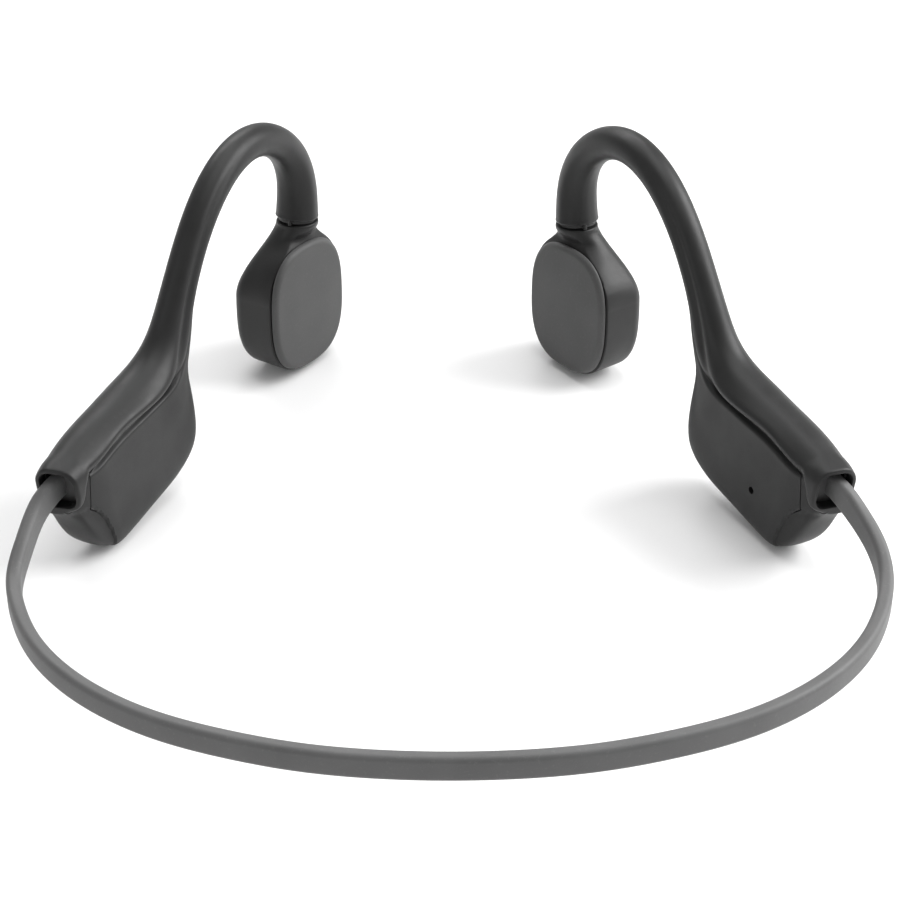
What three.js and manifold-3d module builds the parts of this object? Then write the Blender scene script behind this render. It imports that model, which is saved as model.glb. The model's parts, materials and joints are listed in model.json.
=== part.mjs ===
// Bone conduction headphones: a springy neckband with two arms. Each arm is a pod, an ear hook and a
// transducer that rests on the cheekbone. Millimetres, +Z up, +Y the way the wearer looks, +X to the
// wearer's right. The headphones stand on the two pods and the two transducers.
import * as THREE from "three";
import { mergeVertices } from "three/addons/utils/BufferGeometryUtils.js";
import Module from "manifold-3d";

const wasm = await Module();
wasm.setup();

// ---------- driving dimensions ----------
const GAP = 0.3; // between pieces that touch on the real object
const FINEST = 0.004; // cuts leave no detail smaller than this
const NOSE_DOWN = THREE.MathUtils.degToRad(4.87); // lean of the neckband's plane when standing
// Each arm's origin from the middle of the neckband, and how far it points inwards. The relaxed right arm
// rests a little further in than the left one.
const ARMS = {
  left: { out: 58.8, forward: 54.2, toeIn: THREE.MathUtils.degToRad(27) },
  right: { out: 57.6, forward: 54.3, toeIn: THREE.MathUtils.degToRad(30) },
};

const BAND_HEIGHT = 3.9;
const BAND_THICKNESS = 2.2;
const BAND_CORNER = 0.85;
const BAND_STEP = 4.2; // length of one facet along the neckband
const FLEX_X = 28; // the neckband flexes about a line at this distance from its middle
const KNUCKLE = BAND_THICKNESS / 2;

// Half of the neckband's centreline, from its middle outwards: outwards, forwards, up.
const BAND_ROUTE = [
  [0, 0, -0.1],
  [16.6, 1.3, -0.1],
  [28, 4.2, -0.1],
  [38.6, 8.5, -0.1],
  [47.4, 14.3, -0.1],
  [53.7, 20.6, -0.1],
  [58.4, 27.7, -0.1],
  [61.5, 35.2, 0],
  [62.9, 41.5, 0.8],
  [62.2, 46.7, 3.4],
];
// Its last stretch into the pod, in the arm's own frame.
const BAND_END = [
  [0.4, -3.1, 6.2],
  [0.85, 0.1, 8.2],
  [0.55, 4, 8.9],
];

// The arm's own frame: x is inwards, y is forwards along the arm, z is up from the neckband's plane.
const SPINE = [
  [0.9, 0, 8.4],
  [0.3, 4, 9.0],
  [0, 10, 10.0],
  [0, 16, 11.0],
  [0, 22, 12.6],
  [0, 27, 14.8],
  [0, 31, 18.3],
  [0, 34.3, 23.5],
  [0, 38.4, 30.0],
  [0, 43.2, 35.8],
  [0, 49.8, 40.6],
  [0, 57.4, 42.4],
  [0, 64.4, 40.7],
  [0, 69.8, 36.4],
  [0, 72.3, 30.5],
  [0, 72.0, 23.6],
];

// Half width (across) and half height of the rounded spine at places along it, 0 at the collar and
// 1 at the neck. The valley is where the crease lies below the centre, as a share of the height.
const SPINE_SIZE = [
  { at: 0, across: 3.5, height: 3.8, valley: -0.2 },
  { at: 0.06, across: 4.4, height: 4.4, valley: 0 },
  { at: 0.14, across: 4.9, height: 4.8, valley: -0.12 },
  { at: 0.23, across: 4.8, height: 4.5, valley: 0.08 },
  { at: 0.33, across: 3.5, height: 3.6, valley: 0.5 },
  { at: 0.44, across: 2.75, height: 2.75, valley: 0.7 },
  { at: 0.6, across: 2.7, height: 2.7, valley: 0.7 },
  { at: 0.8, across: 2.85, height: 2.8, valley: 0.7 },
  { at: 1, across: 3.7, height: 3.6, valley: 0.7 },
];
const BLADE_FULL = 0.27; // the flat blade below the spine is whole up to here
const BLADE_GONE = 0.46; // and has merged into the hook here
const FACE = 3.3; // flat inner face of the blade
const BACK = -3.4; // outer side of the blade at its lower edge
const VALLEY = 2.5; // bottom of the crease between spine and face
const EDGE = 1.6; // rounding of the blade's lower edge
const VALLEY_OPENS = { from: 0.8, to: 4.6 }; // distances from the collar's end over which the valley starts
// Inner side of the collar's closed end, as shares of its half width and half height.
const CLOSED_SIDE = [
  [0.97, 0.3],
  [0.88, 0.58],
  [0.68, 0.84],
];
const REAR_ROUNDING = 0.35; // the collar's end is smaller by this all round

// Lower outline of the pod seen from the side: y, z, from the collar to the front of the hook.
const POD_OUTLINE = [
  [0.6, 4.6],
  [3.0, 1.6],
  [5.6, -3.0],
  [9.6, -6.4],
  [13.6, -6.6],
  [22, -4.8],
  [28.8, -3.0],
  [32.7, 0.1],
  [33.7, 4.8],
  [33.5, 11],
  [34.2, 17.4],
  [38, 24],
];

const CAVITY_BACK = -2.3;
const CAVITY_FACE = 1.9;
const PARTING = 1.2; // the cover ends at this distance inwards, so the parting line runs along the edge

// Upper and rear edges of the inner cover: the crease, then the parting line at the rear.
const CREASE = [
  [5.4, 8.9],
  [10.8, 10.3],
  [16, 11.4],
  [21.4, 12.5],
  [25.6, 13.9],
  [28.6, 15.4],
];
const REAR_SEAM = [
  [9.8, -5.2],
  [8.6, -1.6],
  [7.0, 1.3],
  [5.2, 3.0],
];

const BORE = { across: 1.45, height: 0.8 }; // channel for the wires of the hook
const SPRING_WIRE = { radius: 0.45, offset: -0.6 };
const HOOK_LEAD = { radius: 0.35, offset: 0.75 };
const BAND_WIRE = { radius: 0.4, offset: 0.75 };
const BAND_LEAD = { radius: 0.35, offset: -0.75 };
const BAND_BORE = { across: 0.62, height: 1.35 };

const GLAND = { width: 4.2, height: 4.9, corner: 1.5, from: 1.4, to: 3.5 };

// The transducer's own frame: x is out of the pad's face, y is forwards, z is up.
const TRANSDUCER = { x: 0.5, y: 69.6, z: 9.2, turn: THREE.MathUtils.degToRad(-8) };
const OUTLINE = { y: 0.65, halfWidth: 9.7, halfHeight: 11.7, power: 2.7 };
const HOUSING_BACK = -6.6;
const HOUSING_FRONT = 1.7;
const HOUSING_CORNER = 2.4;
const HOUSING_CAVITY = -5.1;
const PAD_BACK = HOUSING_FRONT + GAP;
const PAD_FACE = 3.0;
const PAD_ROUNDING = 0.7;
const NECK = { x: -0.9, y: 2.5, radius: 3.6, top: 13.0 };
const FLARE = { end: 8.6, shares: [0.3, 0.55, 0.8, 1] };
const SEAL = { radius: 3.0, bore: 1.5, thickness: 0.7 };

// The driver's pieces along its axis, from the back of the housing to the pad.
const DRIVER = {
  yoke: { radius: 5.6, wall: 0.7, floor: 0.9, from: -4.7, to: -2.1 },
  magnet: { radius: 3.3, thickness: 1.5, x: -2.7 },
  coil: { radius: 4.4, bore: 3.7, thickness: 1.5, x: -2.1 },
  spring: { radius: 6.4, bore: 1.6, thickness: 0.3, x: -0.6 },
  bracket: { radius: 4.8, thickness: 1.2, x: 0.9 },
};

// Keys and contacts sit along the straight lower edge of the pod.
const EDGE_LINE = { start: [13.6, -6.55], end: [27.4, -2.95], across: -0.8 };
const KEY = { length: 5.4, width: 2.3, proud: 0.3, inner: 2.9, flange: 0.5, flangeThick: 0.5 };
const SWITCH = { length: 3, width: 2.2, height: 1.1, clearance: 0.5 };
const CONTACT_BLOCK = { length: 8.6, width: 2.3, depth: 2.6 };
const CONTACT = { radius: 0.7, pitch: 4, length: 1.2, proud: 0.15 };
const MAIN_KEY = { y: 25.4, z: 5.6, radius: 3.0, face: -4.15, inner: -1.5, flange: 0.6, flangeThick: 0.45 };
const MIC = { y: 16.3, z: 0.8, hole: 0.6 };

// ---------- materials ----------
const finishes = {
  softTouch: { color: 0x2b2b2c, roughness: 0.48, metalness: 0 },
  silicone: { color: 0x5f5f60, roughness: 0.62, metalness: 0 },
  blackRubber: { color: 0x0f0f10, roughness: 0.7, metalness: 0 },
  steel: { color: 0xb8babc, roughness: 0.32, metalness: 1 },
  magnet: { color: 0x8c8f92, roughness: 0.28, metalness: 1 },
  copper: { color: 0xb86b3a, roughness: 0.35, metalness: 1 },
  gold: { color: 0xd8b46a, roughness: 0.25, metalness: 1 },
  board: { color: 0x16402a, roughness: 0.5, metalness: 0 },
  cell: { color: 0x9fa3a6, roughness: 0.4, metalness: 0.6 },
  foam: { color: 0x303030, roughness: 0.95, metalness: 0 },
  lead: { color: 0x1b1b1b, roughness: 0.6, metalness: 0 },
};

function mesh(name, geometry, finish) {
  const made = new THREE.Mesh(geometry, new THREE.MeshStandardMaterial(finishes[finish]));
  made.name = name;
  return made;
}

// ---------- solids ----------
function solid(geometry) {
  const bare = new THREE.BufferGeometry();
  bare.setAttribute("position", geometry.getAttribute("position"));
  if (geometry.index) bare.setIndex(geometry.index);
  const merged = mergeVertices(bare, 1e-4);
  return new wasm.Manifold(
    new wasm.Mesh({
      numProp: 3,
      vertProperties: new Float32Array(merged.attributes.position.array),
      triVerts: new Uint32Array(merged.index.array),
    }),
  );
}

// A cut along a curved skin can leave slivers with no volume beside the body.
function largestBody(body) {
  return body.decompose().reduce((most, one) => (one.volume() > most.volume() ? one : most));
}

function geometryOf(body) {
  const data = body.simplify(FINEST).getMesh();
  const geometry = new THREE.BufferGeometry();
  geometry.setAttribute("position", new THREE.BufferAttribute(data.vertProperties, data.numProp));
  geometry.setIndex(new THREE.BufferAttribute(data.triVerts, 1));
  geometry.computeVertexNormals();
  return geometry;
}

// A closed skin over loops of equally many points, with a fan over each end.
function loft(loops) {
  const count = loops[0].length;
  const points = loops.flat();
  const faces = [];
  for (let row = 0; row + 1 < loops.length; row += 1) {
    for (let i = 0; i < count; i += 1) {
      const next = (i + 1) % count;
      const a = row * count + i;
      const b = row * count + next;
      faces.push(a, b, b + count, a, b + count, a + count);
    }
  }
  const last = (loops.length - 1) * count;
  const first = points.length;
  for (const loop of [loops[0], loops[loops.length - 1]]) {
    points.push(loop.reduce((sum, p) => sum.add(p), new THREE.Vector3()).divideScalar(count));
  }
  for (let i = 0; i < count; i += 1) {
    const next = (i + 1) % count;
    faces.push(first, next, i);
    faces.push(first + 1, last + i, last + next);
  }
  if (signedVolume(points, faces) < 0) {
    for (let i = 0; i < faces.length; i += 3) [faces[i + 1], faces[i + 2]] = [faces[i + 2], faces[i + 1]];
  }
  return new THREE.BufferGeometry().setFromPoints(points).setIndex(faces);
}

function signedVolume(points, faces) {
  const cross = new THREE.Vector3();
  let volume = 0;
  for (let i = 0; i < faces.length; i += 3) {
    cross.crossVectors(points[faces[i + 1]], points[faces[i + 2]]);
    volume += points[faces[i]].dot(cross) / 6;
  }
  return volume;
}

// A prism whose outline lies in the y-z plane and which runs from x = low to x = high.
function sidePrism(outline, low, high) {
  const shape = new THREE.Shape(outline.map(([y, z]) => new THREE.Vector2(y, z)));
  const geometry = new THREE.ExtrudeGeometry(shape, { depth: high - low, bevelEnabled: false });
  // Shape x, y and the depth become y, z and x.
  geometry.applyMatrix4(new THREE.Matrix4().set(0, 0, 1, low, 1, 0, 0, 0, 0, 1, 0, 0, 0, 0, 0, 1));
  return geometry;
}

function roundedOutline(width, height, corner, arcSteps = 3) {
  const outline = [];
  const quarters = [
    [1, 1, 0],
    [-1, 1, 1],
    [-1, -1, 2],
    [1, -1, 3],
  ];
  for (const [sideX, sideY, turns] of quarters) {
    for (let i = 0; i <= arcSteps; i += 1) {
      const angle = (turns + i / arcSteps) * (Math.PI / 2);
      outline.push([
        sideX * (width / 2 - corner) + corner * Math.cos(angle),
        sideY * (height / 2 - corner) + corner * Math.sin(angle),
      ]);
    }
  }
  return outline;
}

function box(width, depth, height, x, y, z) {
  return new THREE.BoxGeometry(width, depth, height).translate(x, y, z);
}

// A round disc or, with a bore, a ring, whose axis is x.
function disc(radius, thickness, x, y, z, bore = 0, sides = 18) {
  const half = thickness / 2;
  const profile = [
    [bore, -half],
    [radius, -half],
    [radius, half],
    [bore, half],
  ];
  if (bore > 0) profile.push(profile[0]);
  const geometry = new THREE.LatheGeometry(
    profile.map(([r, h]) => new THREE.Vector2(r, h)),
    sides,
  );
  return geometry.rotateZ(-Math.PI / 2).translate(x, y, z);
}

// ---------- curves ----------
function smoothCurve(points) {
  return new THREE.CatmullRomCurve3(
    points.map((p) => new THREE.Vector3(...p)),
    false,
    "centripetal",
  );
}

// The place, the sideways direction and the downward direction at a fraction of the curve's length.
function frameAt(curve, at, sideways = new THREE.Vector3(1, 0, 0)) {
  const centre = curve.getPointAt(at);
  const along = curve.getTangentAt(at);
  const up = new THREE.Vector3().crossVectors(sideways, along).normalize();
  const across = new THREE.Vector3().crossVectors(along, up).normalize();
  return { centre, along, across, down: up.negate() };
}

function place(frame, across, down) {
  return frame.centre.clone().addScaledVector(frame.across, across).addScaledVector(frame.down, down);
}

function ovalLoop(frame, across, height, sides, offset = 0) {
  const loop = [];
  for (let i = 0; i < sides; i += 1) {
    const angle = (2 * Math.PI * i) / sides;
    loop.push(place(frame, offset + across * Math.cos(angle), height * Math.sin(angle)));
  }
  return loop;
}

// ---------- neckband ----------
// The half of the route that ends in one arm, with x counted outwards.
function halfRoute({ out, forward, toeIn }) {
  const turned = ([x, y, z]) => [
    out - x * Math.cos(toeIn) - y * Math.sin(toeIn),
    forward - x * Math.sin(toeIn) + y * Math.cos(toeIn),
    z,
  ];
  return [...BAND_ROUTE, ...BAND_END.map(turned)];
}

const bandCurve = smoothCurve([
  ...halfRoute(ARMS.left).reverse().map(([x, y, z]) => [-x, y, z]),
  ...halfRoute(ARMS.right).slice(1),
]);

// The band's loops stand upright: across is level and square to the band.
function bandFrame(at) {
  const centre = bandCurve.getPointAt(at);
  const along = bandCurve.getTangentAt(at);
  const across = new THREE.Vector3(0, 0, 1).cross(along).normalize();
  const down = new THREE.Vector3().crossVectors(across, along).normalize();
  if (down.z > 0) down.negate();
  return { centre, along, across, down };
}

function bandLoft(outline, offset = 0) {
  const steps = Math.round(bandCurve.getLength() / BAND_STEP);
  const loops = [];
  for (let i = 0; i <= steps; i += 1) {
    const frame = bandFrame(i / steps);
    loops.push(outline.map(([across, up]) => place(frame, across, -up - offset)));
  }
  return solid(loft(loops));
}

function oval(across, height, sides) {
  return Array.from({ length: sides }, (_, i) => {
    const angle = (2 * Math.PI * i) / sides;
    return [across * Math.cos(angle), height * Math.sin(angle)];
  });
}

// Where the neckband crosses one flex line, and the way it runs there.
function flexPoint(side) {
  let inner = 0.5;
  let outer = side < 0 ? 0 : 1;
  for (let i = 0; i < 40; i += 1) {
    const middle = (inner + outer) / 2;
    if (side * bandCurve.getPointAt(middle).x > FLEX_X) outer = middle;
    else inner = middle;
  }
  return { place: bandCurve.getPointAt(inner), along: bandCurve.getTangentAt(inner) };
}

function flexCylinder(side, radius) {
  const { place: centre } = flexPoint(side);
  const cylinder = new THREE.CylinderGeometry(radius, radius, 12, 24).rotateX(Math.PI / 2);
  return solid(cylinder.translate(centre.x, centre.y, 0));
}

// Everything on the outer side of one flex line.
function outerBlock(side) {
  const { place: centre, along } = flexPoint(side);
  const reach = 90;
  const block = box(reach, 2 * reach, 40, (side * reach) / 2, 0, 0);
  return solid(block.rotateZ(Math.atan2(along.y, along.x)).translate(centre.x, centre.y, 0));
}

// The middle stretch ends in round knuckles, and the outer stretches have the hollows that turn on them.
function bandStretches(whole) {
  const knuckles = [-1, 1].map((side) => flexCylinder(side, KNUCKLE));
  const hollows = [-1, 1].map((side) => flexCylinder(side, KNUCKLE + GAP));
  const blocks = [-1, 1].map(outerBlock);
  const middle = whole.subtract(blocks[0].subtract(knuckles[0])).subtract(blocks[1].subtract(knuckles[1]));
  const outer = [0, 1].map((i) => whole.intersect(blocks[i]).subtract(hollows[i]));
  return { left: outer[0], center: middle, right: outer[1] };
}

function neckband() {
  const group = new THREE.Group();
  const bore = bandLoft(oval(BAND_BORE.across, BAND_BORE.height, 8));
  const skin = bandLoft(roundedOutline(BAND_THICKNESS, BAND_HEIGHT, BAND_CORNER, 2)).subtract(bore);
  const wire = bandLoft(oval(BAND_WIRE.radius, BAND_WIRE.radius, 6), BAND_WIRE.offset);
  const lead = bandLoft(oval(BAND_LEAD.radius, BAND_LEAD.radius, 6), BAND_LEAD.offset);
  const layers = [
    ["neckband_skin", skin, "silicone"],
    ["memory_wire", wire, "steel"],
    ["signal_lead", lead, "lead"],
  ];
  for (const [name, whole, finish] of layers) {
    for (const [stretch, body] of Object.entries(bandStretches(whole))) {
      group.add(mesh(`${name}_${stretch}`, geometryOf(body), finish));
    }
  }
  return group;
}

// ---------- arm shell ----------
const spineCurve = smoothCurve(SPINE);
const podOutline = new THREE.SplineCurve(POD_OUTLINE.map(([y, z]) => new THREE.Vector2(y, z))).getPoints(60);

function sizeAt(at) {
  const next = SPINE_SIZE.findIndex((station) => station.at >= at);
  if (next <= 0) return SPINE_SIZE[0];
  const [a, b] = [SPINE_SIZE[next - 1], SPINE_SIZE[next]];
  const t = THREE.MathUtils.smoothstep(at, a.at, b.at);
  return {
    across: THREE.MathUtils.lerp(a.across, b.across, t),
    height: THREE.MathUtils.lerp(a.height, b.height, t),
    valley: THREE.MathUtils.lerp(a.valley, b.valley, t),
  };
}

// How far below the spine the pod's outline lies, along a section's downward direction.
function bladeDepth(frame, least) {
  let depth = least;
  for (let i = 0; i + 1 < podOutline.length; i += 1) {
    const a = podOutline[i];
    const b = podOutline[i + 1];
    const edge = [b.x - a.x, b.y - a.y];
    const from = [a.x - frame.centre.y, a.y - frame.centre.z];
    const cross = frame.down.y * edge[1] - frame.down.z * edge[0];
    if (Math.abs(cross) < 1e-9) continue;
    const reach = (from[0] * edge[1] - from[1] * edge[0]) / cross;
    const along = (from[0] * frame.down.z - from[1] * frame.down.y) / cross;
    if (along >= 0 && along <= 1 && reach > depth) depth = reach;
  }
  return depth;
}

// Matching points of a pod section and of the hook's oval: across, down, and the oval's angle in degrees.
// The valley between dome and face is there where opened is 1; at 0 the dome runs all round.
function podSection(across, height, depth, face, valley, opened) {
  const edge = Math.min(EDGE, (depth - height) / 2 + 0.4);
  const inner = Math.min(VALLEY, across * 0.8);
  const crease = valley * height;
  const domeEnd = opened * Math.asin(Math.max(-0.6, valley - 0.45));
  const dome = [1, 2, 3].map((step) => {
    const angle = -Math.PI / 2 + ((domeEnd + Math.PI / 2) * step) / 3;
    return [across * Math.cos(angle), height * Math.sin(angle), 270 + 30 * step];
  });
  const brow = THREE.MathUtils.lerp(1.1 * height, crease + 0.6 * height, opened);
  const valleyKeys = [
    [inner + 0.25 * (dome[2][0] - inner), crease - 0.14 * height, 382],
    [inner, crease + 0.05 * height, 400],
    [inner + 0.6 * (face - inner), crease + 0.25 * height, 412],
  ].map(([sideways, down, degrees], i) => [
    THREE.MathUtils.lerp(across * CLOSED_SIDE[i][0], sideways, opened),
    THREE.MathUtils.lerp(height * CLOSED_SIDE[i][1], down, opened),
    degrees,
  ]);
  return [
    [-across, 0, 180],
    [-across * 0.87, -height * 0.5, 210],
    [-across * 0.5, -height * 0.87, 240],
    [0, -height, 270],
    ...dome,
    ...valleyKeys,
    [face, brow, 422],
    [face, Math.max(depth - edge, brow + 0.2), 434],
    [face - edge * 0.3, depth - edge * 0.3, 444],
    [face - edge, depth, 454],
    [BACK + edge, depth, 470],
    [BACK + edge * 0.3, depth - edge * 0.3, 486],
    [BACK, depth - edge, 502],
    [-across * 0.98, height * 0.9, 520],
  ];
}

function armLoop(at, inset = 0) {
  const frame = frameAt(spineCurve, at);
  const size = sizeAt(at);
  const across = size.across - inset;
  const height = size.height - inset;
  const depth = bladeDepth(frame, height + 0.8) - inset;
  const blade = 1 - THREE.MathUtils.smoothstep(at, BLADE_FULL, BLADE_GONE);
  const front = Math.max(0, 1 - frame.centre.y / 9);
  const face = FACE - inset - 2.6 * front * front;
  const opened = THREE.MathUtils.smoothstep(at * spineCurve.getLength(), VALLEY_OPENS.from, VALLEY_OPENS.to);
  return podSection(across, height, depth, face, size.valley, opened).map(([sideways, down, degrees]) => {
    const angle = THREE.MathUtils.degToRad(degrees);
    const oval = [across * Math.cos(angle), height * Math.sin(angle)];
    return place(
      frame,
      THREE.MathUtils.lerp(oval[0], sideways, blade),
      THREE.MathUtils.lerp(oval[1], down, blade),
    );
  });
}

function armBody() {
  const loops = [];
  const stations = [0.006, 0.02, 0.04, 0.06, 0.08, 0.11, 0.15, 0.19, 0.22, 0.25, 0.275, 0.295, 0.315];
  for (let at = 0.335; at < 1; at += 0.035) stations.push(at);
  stations.push(1);
  loops.push(armLoop(0, REAR_ROUNDING));
  for (const at of stations) loops.push(armLoop(at));
  return solid(loft(loops));
}

// An outline moved inwards by a distance; it runs anticlockwise.
function shrink(outline, distance) {
  return outline.map(([y, z], i) => {
    const before = outline[(i + outline.length - 1) % outline.length];
    const after = outline[(i + 1) % outline.length];
    const one = new THREE.Vector2(y - before[0], z - before[1]).normalize();
    const two = new THREE.Vector2(after[0] - y, after[1] - z).normalize();
    const middle = new THREE.Vector2(-one.y - two.y, one.x + two.x).normalize();
    const reach = distance / Math.max(0.3, middle.x * -one.y + middle.y * one.x);
    return [y + middle.x * reach, z + middle.y * reach];
  });
}

function hookBore() {
  const loops = [];
  for (let at = 0.24; at < 1.0; at += 0.045) {
    loops.push(ovalLoop(frameAt(spineCurve, at), BORE.across, BORE.height, 8));
  }
  const end = frameAt(spineCurve, 1);
  end.centre.addScaledVector(end.along, 2);
  loops.push(ovalLoop(end, BORE.across, BORE.height, 8));
  return solid(loft(loops));
}

const coverOutline = [
  ...REAR_SEAM,
  ...CREASE,
  [31.5, 16.6],
  [40, 16.6],
  [40, -12],
  [11, -12],
].reverse();

const cavityOutline = [
  [4.6, 4.4],
  [7.4, -1.6],
  [10.6, -4.5],
  [13.8, -4.7],
  [27.6, -1.1],
  [30.6, 1.4],
  [31.3, 5.0],
  [31.2, 11.5],
  [29.6, 14.6],
  [26, 15.4],
  [20, 13.6],
  [14, 12.6],
  [8, 11.4],
  [4.6, 10.6],
];

function podCavity() {
  return solid(sidePrism(cavityOutline, CAVITY_BACK, CAVITY_FACE));
}

// A straight plug along the spine's rear end, used for the mouth, the gland and the band's slot.
function collarPlug(width, height, corner, from, to) {
  const start = frameAt(spineCurve, 0);
  const loops = [from, to].map((distance) => {
    const frame = { ...start, centre: start.centre.clone().addScaledVector(start.along, distance) };
    return roundedOutline(width, height, corner).map(([across, up]) => place(frame, across, -up));
  });
  return solid(loft(loops));
}

function armShell(side) {
  const { width, height, corner, to } = GLAND;
  const mouth = collarPlug(width + 2 * GAP, height + 2 * GAP, corner + GAP, -4, to + 2);
  const cut = solid(sidePrism(coverOutline, PARTING - GAP / 2, 12));
  const shell = armBody().subtract(podCavity()).subtract(cut).subtract(hookBore()).subtract(mouth);
  return largestBody(side === "left" ? leftOpenings(shell) : rightOpenings(shell));
}

function leftOpenings(shell) {
  const hole = disc(MAIN_KEY.radius + GAP, 8, -4, MAIN_KEY.y, MAIN_KEY.z);
  const { length, width, depth } = CONTACT_BLOCK;
  const slot = edgeBox(0.5, length + 2 * GAP, width + 2 * GAP, -3, depth + 1);
  return shell.subtract(solid(hole)).subtract(solid(slot));
}

function rightOpenings(shell) {
  const slots = KEY_PLACES.map(({ along }) =>
    solid(edgeBox(along, KEY.length + 2 * GAP, KEY.width + 2 * GAP, -3, KEY.inner)),
  );
  return slots.reduce((body, slot) => body.subtract(slot), shell);
}

function podCover(side) {
  const keep = solid(sidePrism(shrink(coverOutline, GAP), PARTING + GAP / 2, 12));
  const cover = armBody().intersect(keep).subtract(podCavity());
  if (side === "left") return largestBody(cover);
  return largestBody(cover.subtract(solid(disc(MIC.hole, 6, FACE, MIC.y, MIC.z, 0, 12))));
}

function bandGland() {
  const { width, height, corner, from, to } = GLAND;
  const slot = collarPlug(BAND_THICKNESS + 2 * GAP, BAND_HEIGHT + 2 * GAP, BAND_CORNER + GAP, 0, to + 1);
  return collarPlug(width, height, corner, from, to).subtract(slot);
}

// A wire in the hook's channel.
function hookStrand({ radius, offset }) {
  const loops = [];
  const steps = 20;
  for (let i = 0; i <= steps; i += 1) {
    const frame = frameAt(spineCurve, THREE.MathUtils.lerp(0.25, 0.985, i / steps));
    loops.push(ovalLoop(frame, radius, radius, 6, offset));
  }
  return loft(loops);
}

// ---------- keys, contacts and boards ----------
const KEY_PLACES = [
  { name: "volume_down", along: 0.22 },
  { name: "volume_up", along: 0.74 },
];

// A box that stands on the pod's lower edge: from and to are depths into the pod.
function edgeBox(along, length, width, from, to) {
  const { start, end, across } = EDGE_LINE;
  const slope = Math.atan2(end[1] - start[1], end[0] - start[0]);
  return box(width, length, to - from, 0, 0, (from + to) / 2)
    .rotateX(slope)
    .translate(
      across,
      THREE.MathUtils.lerp(start[0], end[0], along),
      THREE.MathUtils.lerp(start[1], end[1], along),
    );
}

function volumeKey(along) {
  const { length, width, proud, inner, flange, flangeThick } = KEY;
  const cap = solid(edgeBox(along, length, width, -proud, inner));
  const rim = solid(edgeBox(along, length + 2 * flange, width + 0.6 * flange, inner - flangeThick, inner));
  return cap.add(rim);
}

function tactSwitch(along) {
  const from = KEY.inner + SWITCH.clearance;
  return edgeBox(along, SWITCH.length, SWITCH.width, from, from + SWITCH.height);
}

function mainKey() {
  const { y, z, radius, face, inner, flange, flangeThick } = MAIN_KEY;
  const cap = solid(disc(radius, inner - face, (inner + face) / 2, y, z));
  const rim = solid(disc(radius + flange, flangeThick, inner - flangeThick / 2, y, z));
  return cap.add(rim);
}

// A contact's pin: along the edge, from slightly proud of the block to its length.
function contactPin(along, radius, from, to) {
  const { start, end, across } = EDGE_LINE;
  const slope = Math.atan2(end[1] - start[1], end[0] - start[0]);
  const pin = new THREE.CylinderGeometry(radius, radius, to - from, 16);
  pin.rotateX(Math.PI / 2).translate(0, along, (from + to) / 2);
  return pin
    .rotateX(slope)
    .translate(across, (start[0] + end[0]) / 2, (start[1] + end[1]) / 2);
}

function contactBlock() {
  const { length, width, depth } = CONTACT_BLOCK;
  const holes = [-1, 1].map((side) =>
    solid(contactPin((side * CONTACT.pitch) / 2, CONTACT.radius + GAP / 2, -1, depth + 1)),
  );
  return solid(edgeBox(0.5, length, width, 0, depth)).subtract(holes[0]).subtract(holes[1]);
}

function leftPieces() {
  const pin = (side) =>
    contactPin((side * CONTACT.pitch) / 2, CONTACT.radius, -CONTACT.proud, CONTACT.length);
  return [
    mesh("multifunction_key", geometryOf(mainKey()), "softTouch"),
    mesh("multifunction_switch", box(1.0, 3, 3, -0.2, MAIN_KEY.y, MAIN_KEY.z), "steel"),
    mesh("protection_board", box(0.7, 8.4, 8.6, 1.05, 26.0, 6.4), "board"),
    mesh("battery", box(3.3, 12, 10.8, -0.2, 14.6, 4.2), "cell"),
    mesh("battery_foam", box(1.8, 12, 0.9, -0.2, 14.6, 10.5), "foam"),
    mesh("charge_contact_block", geometryOf(contactBlock()), "blackRubber"),
    mesh("charge_contact_rear", pin(-1), "gold"),
    mesh("charge_contact_front", pin(1), "gold"),
  ];
}

function rightPieces() {
  const pieces = [
    mesh("main_board", box(0.8, 20, 8, -0.3, 17.5, 6.6), "board"),
    mesh("shield_can", box(1.1, 10, 6, -1.55, 14.5, 6.6), "steel"),
    mesh("microphone", box(0.8, 2.6, 2.2, 1.2, MIC.y, MIC.z), "steel"),
  ];
  for (const { name, along } of KEY_PLACES) {
    pieces.push(mesh(`${name}_key`, geometryOf(volumeKey(along)), "softTouch"));
    pieces.push(mesh(`${name}_switch`, tactSwitch(along), "steel"));
  }
  return pieces;
}

// ---------- transducer ----------
function outlineHalfWidth(z) {
  const { halfWidth, halfHeight, power } = OUTLINE;
  const share = Math.min(1, Math.abs(z) / halfHeight);
  return halfWidth * (1 - share ** power) ** (1 / power);
}

function superOutline(shrinkBy, steps = 28) {
  const { y, halfWidth, halfHeight, power } = OUTLINE;
  const round = (value) => Math.sign(value) * Math.abs(value) ** (2 / power);
  return Array.from({ length: steps }, (_, i) => {
    const angle = (2 * Math.PI * i) / steps;
    return [
      y + (halfWidth - shrinkBy) * round(Math.cos(angle)),
      (halfHeight - shrinkBy) * round(Math.sin(angle)),
    ];
  });
}

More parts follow.
